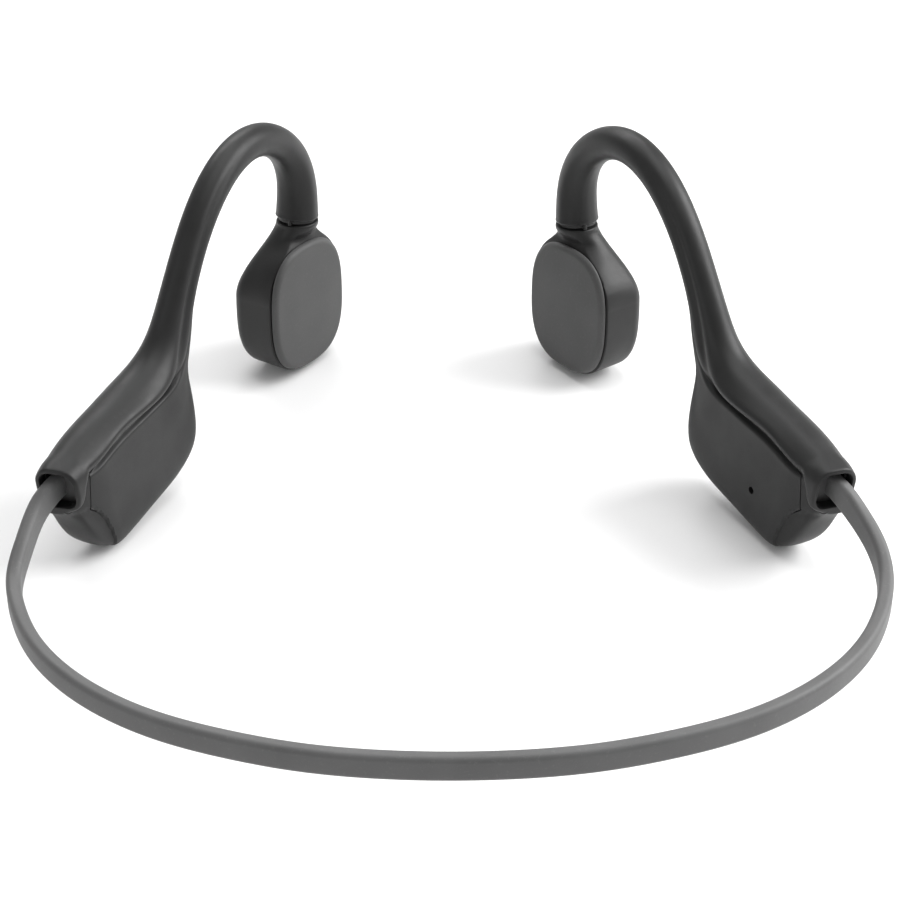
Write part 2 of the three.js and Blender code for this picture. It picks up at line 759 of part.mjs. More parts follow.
// Level loops from the neck's round top, through its flare, down to the rounded bottom.
function housingBody() {
  const centreX = (HOUSING_BACK + HOUSING_FRONT) / 2;
  const thickness = HOUSING_FRONT - HOUSING_BACK;
  const loops = [];
  const ring = (x, y, width, length, corner, z) =>
    loops.push(roundedOutline(width, length, corner).map(([a, b]) => new THREE.Vector3(x + a, y + b, z)));
  const { x, y, radius, top } = NECK;
  ring(x, y, 2 * radius, 2 * radius, radius, top);
  ring(x, y, 2 * radius + 0.1, 2 * radius + 0.3, radius - 0.1, top - 0.8);
  for (const share of FLARE.shares) {
    const z = THREE.MathUtils.lerp(top - 0.8, FLARE.end, share);
    const spread = share ** 1.15;
    const front = THREE.MathUtils.lerp(x + radius, HOUSING_FRONT, Math.min(1, share / FLARE.shares[0]));
    const back = THREE.MathUtils.lerp(x - radius, HOUSING_BACK, spread);
    const halfLength = THREE.MathUtils.lerp(radius + 0.15, outlineHalfWidth(FLARE.end), spread);
    const corner = THREE.MathUtils.lerp(Math.min(radius, (front - back) / 2), HOUSING_CORNER, spread);
    const centreY = THREE.MathUtils.lerp(y, OUTLINE.y, spread);
    ring((front + back) / 2, centreY, front - back, 2 * halfLength, corner, z);
  }
  for (const z of [5.8, 3, 0, -3, -6, -8.6, -10.3, -11.1]) {
    const lower = Math.max(0, -z - 9.4) / 2;
    const width = thickness - 2.4 * lower * lower;
    const length = 2 * outlineHalfWidth(z);
    ring(centreX + 0.8 * lower * lower, OUTLINE.y, width, length, Math.min(HOUSING_CORNER, length / 2.2), z);
  }
  return solid(loft(loops));
}

function housing() {
  const cavity = solid(sidePrism(superOutline(2), HOUSING_CAVITY, HOUSING_FRONT + 2));
  const leadHole = new THREE.CylinderGeometry(1, 1, 8, 12).rotateX(Math.PI / 2);
  leadHole.translate(NECK.x, NECK.y, NECK.top - 2.5);
  return housingBody().subtract(cavity).subtract(solid(leadHole));
}

function pad() {
  const layers = [
    [PAD_BACK, 0.5],
    [PAD_FACE - PAD_ROUNDING, 0.35],
    [PAD_FACE - PAD_ROUNDING * 0.3, 0.35 + PAD_ROUNDING * 0.3],
    [PAD_FACE, 0.35 + PAD_ROUNDING],
  ];
  return loft(layers.map(([x, inset]) => superOutline(inset).map(([y, z]) => new THREE.Vector3(x, y, z))));
}

function yoke() {
  const { radius, wall, floor, from, to } = DRIVER.yoke;
  const cup = disc(radius, to - from, (from + to) / 2, 0, 0);
  const hollow = disc(radius - wall, to - from, (from + to) / 2 + floor, 0, 0);
  return solid(cup).subtract(solid(hollow));
}

function neckSeal() {
  const end = frameAt(spineCurve, 1);
  const loops = [SEAL.radius, SEAL.bore].map((radius) =>
    [GAP, GAP + SEAL.thickness].map((distance) => {
      const frame = { ...end, centre: end.centre.clone().addScaledVector(end.along, distance) };
      return ovalLoop(frame, radius, radius, 20);
    }),
  );
  return solid(loft(loops[0])).subtract(solid(loft(boreThrough(loops[1], end.along))));
}

// The inner loops moved apart, so that the bore passes clean through.
function boreThrough([start, finish], along) {
  return [
    start.map((point) => point.clone().addScaledVector(along, -1)),
    finish.map((point) => point.clone().addScaledVector(along, 1)),
  ];
}

function transducer(side) {
  const group = new THREE.Group();
  group.position.set(TRANSDUCER.x, TRANSDUCER.y, TRANSDUCER.z);
  group.rotation.z = TRANSDUCER.turn;
  const { magnet, coil, spring, bracket } = DRIVER;
  const part = (name, geometry, finish) => group.add(mesh(`${side}_${name}`, geometry, finish));
  part("transducer_housing", geometryOf(housing()), "softTouch");
  part("transducer_pad", pad(), "silicone");
  part("driver_yoke", geometryOf(yoke()), "steel");
  part("driver_magnet", disc(magnet.radius, magnet.thickness, magnet.x, 0, 0), "magnet");
  part("voice_coil", disc(coil.radius, coil.thickness, coil.x, 0, 0, coil.bore), "copper");
  part("spring_plate", disc(spring.radius, spring.thickness, spring.x, 0, 0, spring.bore), "steel");
  part("driver_bracket", disc(bracket.radius, bracket.thickness, bracket.x, 0, 0), "steel");
  return group;
}

// ---------- arms ----------
function arm(side) {
  const { out, forward, toeIn } = ARMS[side];
  const group = new THREE.Group();
  group.position.set(-out, forward, 0);
  group.rotation.z = -toeIn;
  group.add(
    mesh(`${side}_arm_shell`, geometryOf(armShell(side)), "softTouch"),
    mesh(`${side}_pod_cover`, geometryOf(podCover(side)), "softTouch"),
    mesh(`${side}_band_gland`, geometryOf(bandGland()), "blackRubber"),
    mesh(`${side}_hook_spring_wire`, hookStrand(SPRING_WIRE), "steel"),
    mesh(`${side}_hook_lead`, hookStrand(HOOK_LEAD), "lead"),
    mesh(`${side}_neck_seal`, geometryOf(neckSeal()), "blackRubber"),
    transducer(side),
    ...(side === "left" ? leftPieces() : rightPieces()),
  );
  const mirrored = new THREE.Group();
  if (side === "right") mirrored.scale.x = -1;
  return mirrored.add(group);
}

// ---------- the whole ----------
const leaning = new THREE.Group();
leaning.rotation.x = -NOSE_DOWN;
leaning.add(neckband(), arm("left"), arm("right"));

// The origin is the middle of the footprint, on the surface that the headphones stand on.
const footprint = new THREE.Box3().setFromObject(leaning, true);
const middle = footprint.getCenter(new THREE.Vector3());
leaning.position.set(-middle.x, -middle.y, -footprint.min.z);

const part = new THREE.Group();
part.add(leaning);

export default part;
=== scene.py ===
import json
import math

import bmesh
import bpy
import numpy as np
from mathutils import Matrix, Vector


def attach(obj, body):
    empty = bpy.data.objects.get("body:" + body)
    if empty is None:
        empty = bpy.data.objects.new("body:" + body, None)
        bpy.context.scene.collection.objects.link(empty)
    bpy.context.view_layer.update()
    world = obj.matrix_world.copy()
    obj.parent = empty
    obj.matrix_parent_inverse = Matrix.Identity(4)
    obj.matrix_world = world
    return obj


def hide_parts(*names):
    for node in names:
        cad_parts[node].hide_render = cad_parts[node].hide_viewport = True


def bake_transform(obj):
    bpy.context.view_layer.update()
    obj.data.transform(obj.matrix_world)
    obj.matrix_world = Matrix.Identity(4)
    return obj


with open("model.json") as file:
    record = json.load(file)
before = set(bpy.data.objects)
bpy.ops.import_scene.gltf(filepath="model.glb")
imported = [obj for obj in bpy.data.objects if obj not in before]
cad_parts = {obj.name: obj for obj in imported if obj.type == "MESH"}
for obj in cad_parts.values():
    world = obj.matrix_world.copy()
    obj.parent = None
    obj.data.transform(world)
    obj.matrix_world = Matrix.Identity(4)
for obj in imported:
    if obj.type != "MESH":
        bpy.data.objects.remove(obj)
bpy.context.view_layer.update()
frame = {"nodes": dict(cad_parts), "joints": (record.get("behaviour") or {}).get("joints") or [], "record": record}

MM = 0.001

# ---------- driving dimensions, in millimetres, as in the CAD model ----------
NOSE_DOWN = math.radians(4.87)  # lean of the neckband's plane
FLEX_POINT = (-28, 4.2, -0.1)  # the left flex joint, in the neckband's plane
ARMS = {  # each arm's origin, outwards and forwards, and how far it points inwards
    "left": (58.8, 54.2, math.radians(27)),
    "right": (57.6, 54.3, math.radians(30)),
}

BAND_HEIGHT = 3.9
BAND_THICKNESS = 2.2
BAND_CORNER = 0.85  # radius of the corners of the band's section
BAND_STEP = 0.8  # between the loops of a band layer
BAND_ROUTE = [  # half of the centreline, from the middle: outwards, forwards, up
    (0, 0, -0.1),
    (16.6, 1.3, -0.1),
    (28, 4.2, -0.1),
    (38.6, 8.5, -0.1),
    (47.4, 14.3, -0.1),
    (53.7, 20.6, -0.1),
    (58.4, 27.7, -0.1),
    (61.5, 35.2, 0),
    (62.9, 41.5, 0.8),
    (62.2, 46.7, 3.4),
]
BAND_END = [(-0.7, -3.1, 6.2), (-0.2, 0.1, 8.1), (0.1, 4, 8.9)]  # in the arm's frame
# Offsets are upwards from the middle of the band's section.
BAND_WIRE = {"radius": 0.4, "offset": 0.75}
BAND_LEAD = {"radius": 0.35, "offset": -0.75}

# The arm's frame: x inwards, y forwards along the arm, z up from the neckband's plane.
SPINE = [
    (0.9, 0, 8.4),
    (0.3, 4, 9.0),
    (0, 10, 10.0),
    (0, 16, 11.0),
    (0, 22, 12.6),
    (0, 27, 14.8),
    (0, 31, 18.3),
    (0, 34.3, 23.5),
    (0, 38.4, 30.0),
    (0, 43.2, 35.8),
    (0, 49.8, 40.6),
    (0, 57.4, 42.4),
    (0, 64.4, 40.7),
    (0, 69.8, 36.4),
    (0, 72.3, 30.5),
    (0, 72.0, 23.6),
]
# At fractions of the spine: half width, half height, and the valley's depth as a share of the height.
SPINE_SIZE = {
    0: (3.5, 3.8, -0.2),
    0.06: (4.4, 4.4, 0.0),
    0.14: (4.9, 4.8, -0.12),
    0.23: (4.8, 4.5, 0.08),
    0.33: (3.4, 3.6, 0.5),
    0.44: (2.75, 2.75, 0.7),
    0.6: (2.7, 2.7, 0.7),
    0.8: (2.85, 2.8, 0.7),
    1: (3.7, 3.6, 0.7),
}
# Up to the first fraction of the spine a section is the pod's; from the second on it is the hook's oval.
BLADE_FULL = 0.27
BLADE_GONE = 0.46
BLADE_LEAST = 0.8  # the blade reaches at least this far below the dome
FACE = 3.3  # x of the pod's inner side
FACE_DRAWN_IN = {"length": 9, "depth": 2.6}  # towards the collar
FACE_SWELL = {"at": 0.285, "width": 0.03, "height": 0.35}  # where the face runs up into the hook
BACK = -3.4  # x of the pod's outer side
VALLEY = 2.5  # x of the bottom of the valley between the dome and the face
VALLEY_OPENS = (0.8, 4.6)  # distances from the collar's end between which the valley starts
VALLEY_ENDS = (0.26, 0.34)  # fractions between which the valley hands over to the groove
EDGE = 1.6  # size of the rounded lower edges
END_ROUNDING = 0.4  # at the collar's rim and at the hook's end
HOOK_SKIRT = -0.6  # how far the hook's end reaches beyond the spine's
POD_STEP = 0.25  # between the loops of the pod
POD_PART = 0.3  # fraction of the spine that the pod takes up
HOOK_STEP = 0.6  # between the loops of the hook
POD_OUTLINE = [  # y and z, from the dome at the collar round below to the dome at the hook
    (0.6, 4.6),
    (3.0, 1.6),
    (5.6, -3.0),
    (9.6, -6.4),
    (13.6, -6.6),
    (22, -4.8),
    (28.8, -3.0),
    (32.7, 0.1),
    (33.7, 4.8),
    (33.5, 11),
    (34.2, 17.4),
    (38, 24),
]
# The groove that runs up the rear inner side of the hook: fraction, angle in degrees, depth.
HOOK_GROOVE = {
    0.25: (372, 0),
    0.3: (366, 0.3),
    0.35: (356, 0.45),
    0.41: (346, 0.42),
    0.5: (339, 0.32),
    0.68: (332, 0),
}
GROOVE_WIDTH = 15  # degrees

SEAM_GAP = 0.16  # between the shell and the inner cover
PARTING = 1.2  # x of the plane that the cover stands on
CREASE = [  # y and z of the cover's upper seam, along the valley
    (5.4, 8.9), (10.8, 10.3), (16, 11.4), (21.4, 12.5), (25.6, 13.9), (28.6, 15.4), (31.5, 16.6),
]
REAR_SEAM = [(5.2, 3.0), (7.0, 1.3), (8.6, -1.6), (9.8, -5.2), (10.3, -8.0)]
COVER_FREE = (5.4, 8)  # y between which the gap beside the seams runs out
BEYOND_POD = {"x": 12, "y": 44, "z": -13}  # a corner that lies well outside the pod
# The rear lobe is pressed in beside the seam: how deep, from which height down, and how far it fades.
LOBE = {"sink": 0.4, "top": 3.4, "rise": 1.4, "slant": 0.8, "fade": (0.6, 3.2)}
COLLAR_CREASE = {"z": 3.0, "width": 0.45, "depth": 0.22, "fade": (4.6, 5.4)}
PRESSED_SIDE = (0.6, 1.8)  # x between which both presses fade in
CAVITY = [  # y and z of the room inside the pod
    (4.6, 4.4),
    (7.4, -1.6),
    (10.6, -4.5),
    (13.8, -4.7),
    (27.6, -1.1),
    (30.6, 1.4),
    (31.3, 5.0),
    (31.2, 11.5),
    (29.6, 14.6),
    (26, 15.4),
    (20, 13.6),
    (14, 12.6),
    (8, 11.4),
    (4.6, 10.6),
]
CAVITY_BACK = -2.3
CAVITY_FACE = 1.9

# The collar's mouth, its floor and the depth of its end, and how far the band's slot lies to the side.
COLLAR = {"width": 5.3, "height": 6.0, "corner": 1.7, "floor": 1.7, "end": 3.4, "slot": -1.0}
COLLAR_SQUARE = 2.9  # power of the superellipse that the collar's end follows
MOUTH_EDGE = [(-2, 0.2), (0.02, 0.2), (0.08, 0.12), (0.2, 0.04), (0.4, 0)]  # depth and growth
BORE = {"across": 1.45, "height": 0.8, "from": 0.24}  # half sizes, and the fraction where it starts

TRANSDUCER = {"place": (0.5, 69.6, 9.2), "turn": math.radians(-8)}
OUTLINE = {"y": 0.65, "half_width": 9.7, "half_height": 11.7, "power": 2.7}
HOUSING = {"back": -6.9, "front": 1.75, "corner": 2.4, "rim": 0.22, "cavity": -5.1}
DRIVER_ROOM = 6.9  # radius of the room for the driver
LEAD_HOLE = {"radius": 1, "from": 6.5, "to": 15}  # for the lead, up through the neck
PAD = {"back": 1.9, "face": 2.95, "crown": 0.12, "rounding": 0.95, "inset": 0.3}
NECK = {"x": -0.9, "y": 2.5, "radius": 3.6, "top": 14.45, "straight": 14.15, "rounding": 0.25}
NECK_GAP_END = -0.05  # how far the neck's rim lies beyond the spine's end
SEAL = {"radius": 3.1, "rim": 2.6, "bore": 1.5}
RIB = {"width": 0.6, "height": 0.7, "corner": 0.2, "place": (0.5, 3.1)}  # bridges the seal
FLARE_END = 2.6  # z where the neck's flare ends
FLARE_RISE = 0.8  # below 1, the flare widens sooner below the neck
FLARE = {"front": 2.2, "softness": 0.6, "over": 3, "sides": (0.05, 0.8), "pull": 0.9}
SCOOP = {"z": 11.9, "depth": 0.4, "width": 0.9}  # the pit behind the pad's top

# The straight part of the pod's lower edge, and the keys and the charging slot in it.
EDGE_LINE = {"start": (13.6, -6.55), "end": (27.4, -2.95), "across": -0.8}
KEY = {"length": 5.4, "width": 2.3, "proud": 0.3, "inner": 2.9, "corner": 1.1, "rounding": 0.35}
KEY_GAP = 0.34  # what the slot is wider and longer than the key
KEY_PLACES = {"volume_down": 0.22, "volume_up": 0.74}  # shares of the edge line
MAIN_KEY = {"y": 25.4, "z": 5.6, "radius": 3.0, "face": -4.15, "inner": -1.5}
MAIN_KEY_GAP = 0.2
MAIN_KEY_EDGE = {"rounding": 0.45, "dish": 0.16}
MIC = {"y": 16.3, "z": 0.8, "hole": 0.6}
CONTACT_SLOT = {"length": 8.9, "width": 2.6, "depth": 3.6, "corner": 0.5}
OUTSIDE_EDGE = -3  # depth, below every key, at which the slots are cut open

# Camera: in the neckband's plane frame.
CAMERA_PLACE = (0, -215.02, 170.7)
CAMERA_TILT = math.radians(60)
CAMERA_LENS = 85


# ---------- frames ----------
def lean_matrix():
    """From the neckband's plane, in metres, to the row's frame."""
    flex = next(joint for joint in frame["joints"] if joint["name"] == "left_flex")
    turn = Matrix.Rotation(-NOSE_DOWN, 4, "X")
    shift = Vector(flex["pos_m"]) - turn @ (Vector(FLEX_POINT) * MM)
    return Matrix.Translation(shift) @ turn


LEAN = lean_matrix()
SCALE = Matrix.Scale(MM, 4)


def arm_matrix(side, scale=SCALE):
    out, forward, toe_in = ARMS[side]
    mirror = Matrix.Diagonal((1 if side == "left" else -1, 1, 1, 1))
    place = Matrix.Translation(Vector((-out, forward, 0)) * MM)
    return LEAN @ mirror @ place @ Matrix.Rotation(-toe_in, 4, "Z") @ scale


def transducer_matrix(side):
    place = Matrix.Translation(Vector(TRANSDUCER["place"]) * MM)
    inner = place @ Matrix.Rotation(TRANSDUCER["turn"], 4, "Z") @ SCALE
    return arm_matrix(side, Matrix.Identity(4)) @ inner


# ---------- curves ----------
def smoothstep(value, low, high):
    t = np.clip((np.asarray(value, float) - low) / (high - low), 0, 1)
    return t * t * (3 - 2 * t)


def lerp(a, b, t):
    return a + (b - a) * t


class Spline:
    """A curve with continuous curvature through points. Its parameter runs over self.knots."""

    def __init__(self, points, closed=False, knots=None):
        p = np.asarray(points, float)
        if p.ndim == 1:
            p = p[:, None]
        if closed:
            p = np.vstack([p, p[:1]])
        if knots is None:
            knots = np.concatenate([[0], np.cumsum(np.linalg.norm(np.diff(p, axis=0), axis=1) ** 0.5)])
        knots = np.asarray(knots, float)
        h = np.diff(knots)
        slope = np.diff(p, axis=0) / h[:, None]
        n = len(p)
        matrix, right = np.zeros((n, n)), np.zeros_like(p)
        for i in range(1, n - 1):
            matrix[i, i - 1 : i + 2] = h[i - 1], 2 * (h[i - 1] + h[i]), h[i]
            right[i] = 6 * (slope[i] - slope[i - 1])
        if closed:
            matrix[0, 0], matrix[0, -1] = 1, -1
            matrix[-1, :2] += 2 * h[0], h[0]
            matrix[-1, -2:] += h[-1], 2 * h[-1]
            right[-1] = 6 * (slope[0] - slope[-1])
        else:
            matrix[0, 0] = matrix[-1, -1] = 1
        self.points, self.knots, self.h = p, knots, h
        self.curvature = np.linalg.solve(matrix, right)

    def __call__(self, t):
        t = np.atleast_1d(t)
        i = np.clip(np.searchsorted(self.knots, t, "right") - 1, 0, len(self.h) - 1)
        h = self.h[i][:, None]
        b = (t[:, None] - self.knots[i][:, None]) / h
        a = 1 - b
        bend = (a**3 - a) * self.curvature[i] + (b**3 - b) * self.curvature[i + 1]
        return a * self.points[i] + b * self.points[i + 1] + bend * h * h / 6

    def even(self, count):
        """Points at even steps of the parameter between each pair of the given points."""
        steps = np.arange(len(self.h) * count) / count
        return self(np.interp(steps, np.arange(len(self.knots)), self.knots))

    def dense(self, count):
        return self(np.linspace(self.knots[0], self.knots[-1], count))


class Path:
    """A spline read by the fraction of its length."""

    def __init__(self, points):
        self.points = Spline(points).dense(4000)
        steps = np.linalg.norm(np.diff(self.points, axis=0), axis=1)
        self.length = steps.sum()
        self.share = np.concatenate([[0], np.cumsum(steps)]) / self.length

    def place(self, at):
        return np.array([np.interp(at, self.share, self.points[:, k]) for k in range(3)]).T

    def along(self, at):
        """The unit direction, over a short piece on each side."""
        tiny = 0.002
        ahead = self.place(np.minimum(np.asarray(at) + tiny, 1))
        behind = self.place(np.maximum(np.asarray(at) - tiny, 0))
        way = ahead - behind
        return way / np.linalg.norm(way, axis=-1, keepdims=True)


def unit(v):
    return v / np.linalg.norm(v)


def by_stations(table):
    """A smooth function through {fraction: values}."""
    return Spline(list(table.values()), knots=list(table))


def rounded(width, height, corner, steps=6):
    """A rectangle with round corners, anticlockwise."""
    outline = []
    for turns, (sx, sy) in enumerate([(1, 1), (-1, 1), (-1, -1), (1, -1)]):
        for i in range(steps + 1):
            angle = (turns + i / steps) * math.pi / 2
            x = sx * (width / 2 - corner) + corner * math.cos(angle)
            y = sy * (height / 2 - corner) + corner * math.sin(angle)
            outline.append((x, y))
    return np.array(outline)


def circle(radius, steps=64):
    angles = np.arange(steps) * 2 * math.pi / steps
    return np.stack([radius * np.cos(angles), radius * np.sin(angles)], -1)


def quarter(radius, steps=5):
    """(distance from the end, inset) along a quarter round, from the end inwards."""
    angles = np.linspace(0, math.pi / 2, steps + 1)
    return [(radius * (1 - math.cos(a)), radius * (1 - math.sin(a))) for a in angles]


# ---------- meshes ----------
def new_object(name, points, faces):
    mesh = bpy.data.meshes.new(name)
    mesh.from_pydata(np.asarray(points, float).tolist(), [], faces)
    outward(mesh)
    made = bpy.data.objects.new(name, mesh)
    bpy.context.scene.collection.objects.link(made)
    return made


def outward(mesh):
    """Turns every face's normal outwards."""
    b = bmesh.new()
    b.from_mesh(mesh)
    bmesh.ops.recalc_face_normals(b, faces=b.faces)
    b.to_mesh(mesh)
    b.free()


def loft(name, loops):
    """A closed skin over loops of equally many points, each end closed by a fan."""
    loops = np.asarray(loops, float)
    rows, count = loops.shape[:2]
    j = np.arange(count)
    k = (j + 1) % count
    faces = []
    for row in range(rows - 1):
        a = row * count
        faces += np.stack([a + j, a + k, a + count + k, a + count + j], -1).tolist()
    points = loops.reshape(-1, 3)
    ends = np.stack([loops[0].mean(0), loops[-1].mean(0)])
    for end, a in enumerate((0, (rows - 1) * count)):
        faces += [(rows * count + end, a + int(p), a + int(q)) for p, q in zip(j, k)]
    return new_object(name, np.vstack([points, ends]), faces)


def side_prism(name, outline, low, high):
    """A prism whose outline lies in the y-z plane, from x = low to x = high."""
    outline = np.asarray(outline, float)
    count = len(outline)
    layers = [np.column_stack([np.full(count, x), outline]) for x in (low, high)]
    faces = [list(range(count)), list(range(2 * count - 1, count - 1, -1))]
    for i in range(count):
        j = (i + 1) % count
        faces.append([i, j, count + j, count + i])
    return new_object(name, np.vstack(layers), faces)


def settle(made):
    """Applies the modifiers to the mesh."""
    bpy.context.view_layer.update()
    graph = bpy.context.evaluated_depsgraph_get()
    mesh = bpy.data.meshes.new_from_object(made.evaluated_get(graph), depsgraph=graph)
    made.modifiers.clear()
    made.data = mesh


def carve(made, *cutters, operation="DIFFERENCE"):
    """Cuts the cutters out of a shape, or keeps what lies in them, and deletes them."""
    for cutter in cutters:
        modifier = made.modifiers.new("carve", "BOOLEAN")
        modifier.solver = "MANIFOLD"
        modifier.operation = operation
        modifier.object = cutter
        settle(made)
        bpy.data.objects.remove(cutter)


SHARP_EDGE = math.radians(40)  # edges that turn by more than this are shaded sharp


def finish_piece(made, matrix, body, material, replaces=()):
    """Puts a shape in its place in the row's frame and hands it to a body."""
    made.data.transform(matrix)
    if matrix.determinant() < 0:
        made.data.flip_normals()
    made.data.materials.clear()
    made.data.materials.append(material)
    for polygon in made.data.polygons:
        polygon.use_smooth = True
    made.data.set_sharp_from_angle(angle=SHARP_EDGE)
    made.data.update()
    if body:
        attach(made, body)
    if replaces:
        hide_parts(*replaces)


# ---------- materials ----------
class Nodes:
    """A material's node tree. Sizes of noise are in metres of the piece's own space."""

    def __init__(self, name):
        self.material = bpy.data.materials.new(name)
        self.material.use_nodes = True
        self.tree = self.material.node_tree
        self.shader = self.tree.nodes["Principled BSDF"]
        self.space = self.add("ShaderNodeTexCoord").outputs["Object"]

    def add(self, kind, **values):
        node = self.tree.nodes.new(kind)
        for key, value in values.items():
            setattr(node, key, value)
        return node

    def link(self, source, target):
        self.tree.links.new(source, target)

    def noise(self, size, detail=3.0, roughness=0.55):
        """Noise whose blobs are about size metres across."""
        node = self.add("ShaderNodeTexNoise")
        node.inputs["Scale"].default_value = 1 / size
        node.inputs["Detail"].default_value = detail
        node.inputs["Roughness"].default_value = roughness
        self.link(self.space, node.inputs["Vector"])
        return node.outputs["Fac"]

    def cells(self, size):
        """Distance from the middles of cells of about size metres."""
        node = self.add("ShaderNodeTexVoronoi")
        node.inputs["Scale"].default_value = 1 / size
        self.link(self.space, node.inputs["Vector"])
        return node.outputs["Distance"]

    def span(self, source, low, high, to_low, to_high):
        """The source's range from low to high, stretched to the other range and clamped."""
        node = self.add("ShaderNodeMapRange")
        for key, value in zip(("From Min", "From Max", "To Min", "To Max"), (low, high, to_low, to_high)):
            node.inputs[key].default_value = value
        self.link(source, node.inputs["Value"])
        return node.outputs["Result"]

    def combine(self, operation, a, b):
        node = self.add("ShaderNodeMath", operation=operation)
        self.link(a, node.inputs[0])
        self.link(b, node.inputs[1])
        return node.outputs["Value"]

    def tint(self, factor, dark, light):
        """A mix of two colours, each given as a tuple or as a socket."""
        node = self.add("ShaderNodeMix", data_type="RGBA")
        for socket, value in zip((node.inputs[6], node.inputs[7]), (dark, light)):
            if isinstance(value, tuple):
                socket.default_value = (*value, 1)
            else:
                self.link(value, socket)
        self.link(factor, node.inputs[0])
        return node.outputs[2]

    def bump(self, height, distance, strength, below=None):
        """A relief of distance metres, on top of the relief below."""
        node = self.add("ShaderNodeBump")
        node.inputs["Strength"].default_value = strength
        node.inputs["Distance"].default_value = distance
        self.link(height, node.inputs["Height"])
        if below is not None:
            self.link(below, node.inputs["Normal"])
        return node.outputs["Normal"]


def grey(value):
    return (value, value, value)


MOTTLE = 0.1  # share by which a moulded tone varies over centimetres
SPECK_TONE, WORN_TONE = 1.6, 2.2  # times the tone: the fine specks and the worn edges
HANDLED = 0.05  # what the roughness varies by where the piece is handled
FINE_ROUGHNESS = 0.03  # what it varies by with the grain
MIDDLE_NOISE = (0.3, 0.7)  # the range that most of a noise lies in


def moulded(name, tone, roughness, wear, grain=0.00016, relief=0.000004):
    """Moulded plastic or rubber: fine grain, faint mottling, handling marks and lighter worn edges."""
    n = Nodes(name)
    cloud = n.span(n.noise(0.006, 2.0), *MIDDLE_NOISE, 0, 1)
    cloud = n.tint(cloud, grey(tone * (1 - MOTTLE)), grey(tone * (1 + MOTTLE)))
    speck = n.span(n.noise(grain * 2.2, 1.0), 0.62, 0.78, 0, 0.35)
    base = n.tint(speck, cloud, grey(tone * SPECK_TONE))
    edges = n.span(n.add("ShaderNodeNewGeometry").outputs["Pointiness"], 0.52, 0.62, 0, wear)
    worn = n.combine("MULTIPLY", edges, n.span(n.noise(0.0012), 0.35, 0.7, 0.2, 1))
    n.link(n.tint(worn, base, grey(tone * WORN_TONE)), n.shader.inputs["Base Color"])
    handled = n.span(n.noise(0.003, 4.0), 0.25, 0.75, roughness - HANDLED, roughness + HANDLED)
    fine = n.span(n.noise(grain, 1.0), *MIDDLE_NOISE, -FINE_ROUGHNESS, FINE_ROUGHNESS)
    n.link(n.combine("ADD", handled, fine), n.shader.inputs["Roughness"])
    ripple = n.bump(n.noise(0.0028, 1.0), 0.00002, 0.25)
    n.link(n.bump(n.noise(grain, 2.0), relief, 0.8, ripple), n.shader.inputs["Normal"])
    return n


def soft_touch():
    n = moulded("soft_touch_plastic", 0.01, 0.46, wear=0.3)
    n.shader.inputs["Specular IOR Level"].default_value = 0.32
    n.shader.inputs["Sheen Weight"].default_value = 0.04
    n.shader.inputs["Sheen Roughness"].default_value = 0.5
    return n.material


def silicone(name, tone, roughness=0.56):
    n = moulded(name, tone, roughness, wear=0.1, grain=0.00022, relief=0.000006)
    n.shader.inputs["Sheen Weight"].default_value = 0.06
    n.shader.inputs["Sheen Roughness"].default_value = 0.6
    return n.material


def metal(name, colour, roughness, brushed=0.0):
    """Metal with dull patches; brushed adds to the strength of its relief."""
    n = Nodes(name)
    n.shader.inputs["Metallic"].default_value = 1.0
    dull = tuple(c * 0.82 for c in colour)
    patches = n.span(n.noise(0.0015), *MIDDLE_NOISE, 0, 1)
    n.link(n.tint(patches, dull, colour), n.shader.inputs["Base Color"])
    smears = n.span(n.noise(0.0006, 4.0), *MIDDLE_NOISE, roughness - 0.08, roughness + 0.1)
    n.link(smears, n.shader.inputs["Roughness"])
    n.link(n.bump(n.noise(0.0003, 2.0), 0.000004, 0.4 + brushed), n.shader.inputs["Normal"])
    return n.material


def board_material():
    """Green solder mask with darker tracks under it."""
    n = Nodes("solder_mask")
    tracks = n.span(n.cells(0.0009), 0.1, 0.5, 0, 1)
    n.link(n.tint(tracks, (0.012, 0.07, 0.03), (0.03, 0.16, 0.07)), n.shader.inputs["Base Color"])
    n.link(n.span(n.noise(0.001), *MIDDLE_NOISE, 0.32, 0.45), n.shader.inputs["Roughness"])
    n.link(n.bump(tracks, 0.00003, 0.5), n.shader.inputs["Normal"])
    return n.material


def foam_material():
    """Black foam with open pores."""
    n = Nodes("black_foam")
    pores = n.span(n.cells(0.0005), 0.0, 0.5, 0, 1)
    n.link(n.tint(pores, grey(0.01), grey(0.045)), n.shader.inputs["Base Color"])
    n.link(n.span(n.noise(0.0006), *MIDDLE_NOISE, 0.85, 0.98), n.shader.inputs["Roughness"])
    n.link(n.bump(pores, 0.0001, 0.9), n.shader.inputs["Normal"])
    return n.material


SLOT_MATERIALS = {
    "soft_touch_shell": soft_touch(),
    "silicone_skin": silicone("grey_silicone", 0.09),
    "black_rubber": moulded("black_rubber", 0.01, 0.6, wear=0.1).material,
    "spring_steel": metal("spring_steel", (0.6, 0.61, 0.62), 0.3, 0.2),
    "magnet": metal("nickel", (0.66, 0.65, 0.62), 0.22),
    "copper_wire": metal("enamelled_copper", (0.72, 0.36, 0.17), 0.3),
    "gold_contact": metal("gold_plate", (0.95, 0.72, 0.34), 0.2),
    "circuit_board": board_material(),
    "battery_pouch": metal("battery_foil", (0.62, 0.63, 0.65), 0.35, 0.3),
    "foam": foam_material(),
    "lead_jacket": moulded("lead_jacket", 0.02, 0.5, wear=0.0).material,
}
PAD_SKIN = silicone("pad_silicone", 0.05, 0.6)
HOLLOW = moulded("collar_plastic", 0.03, 0.5, wear=0.0).material


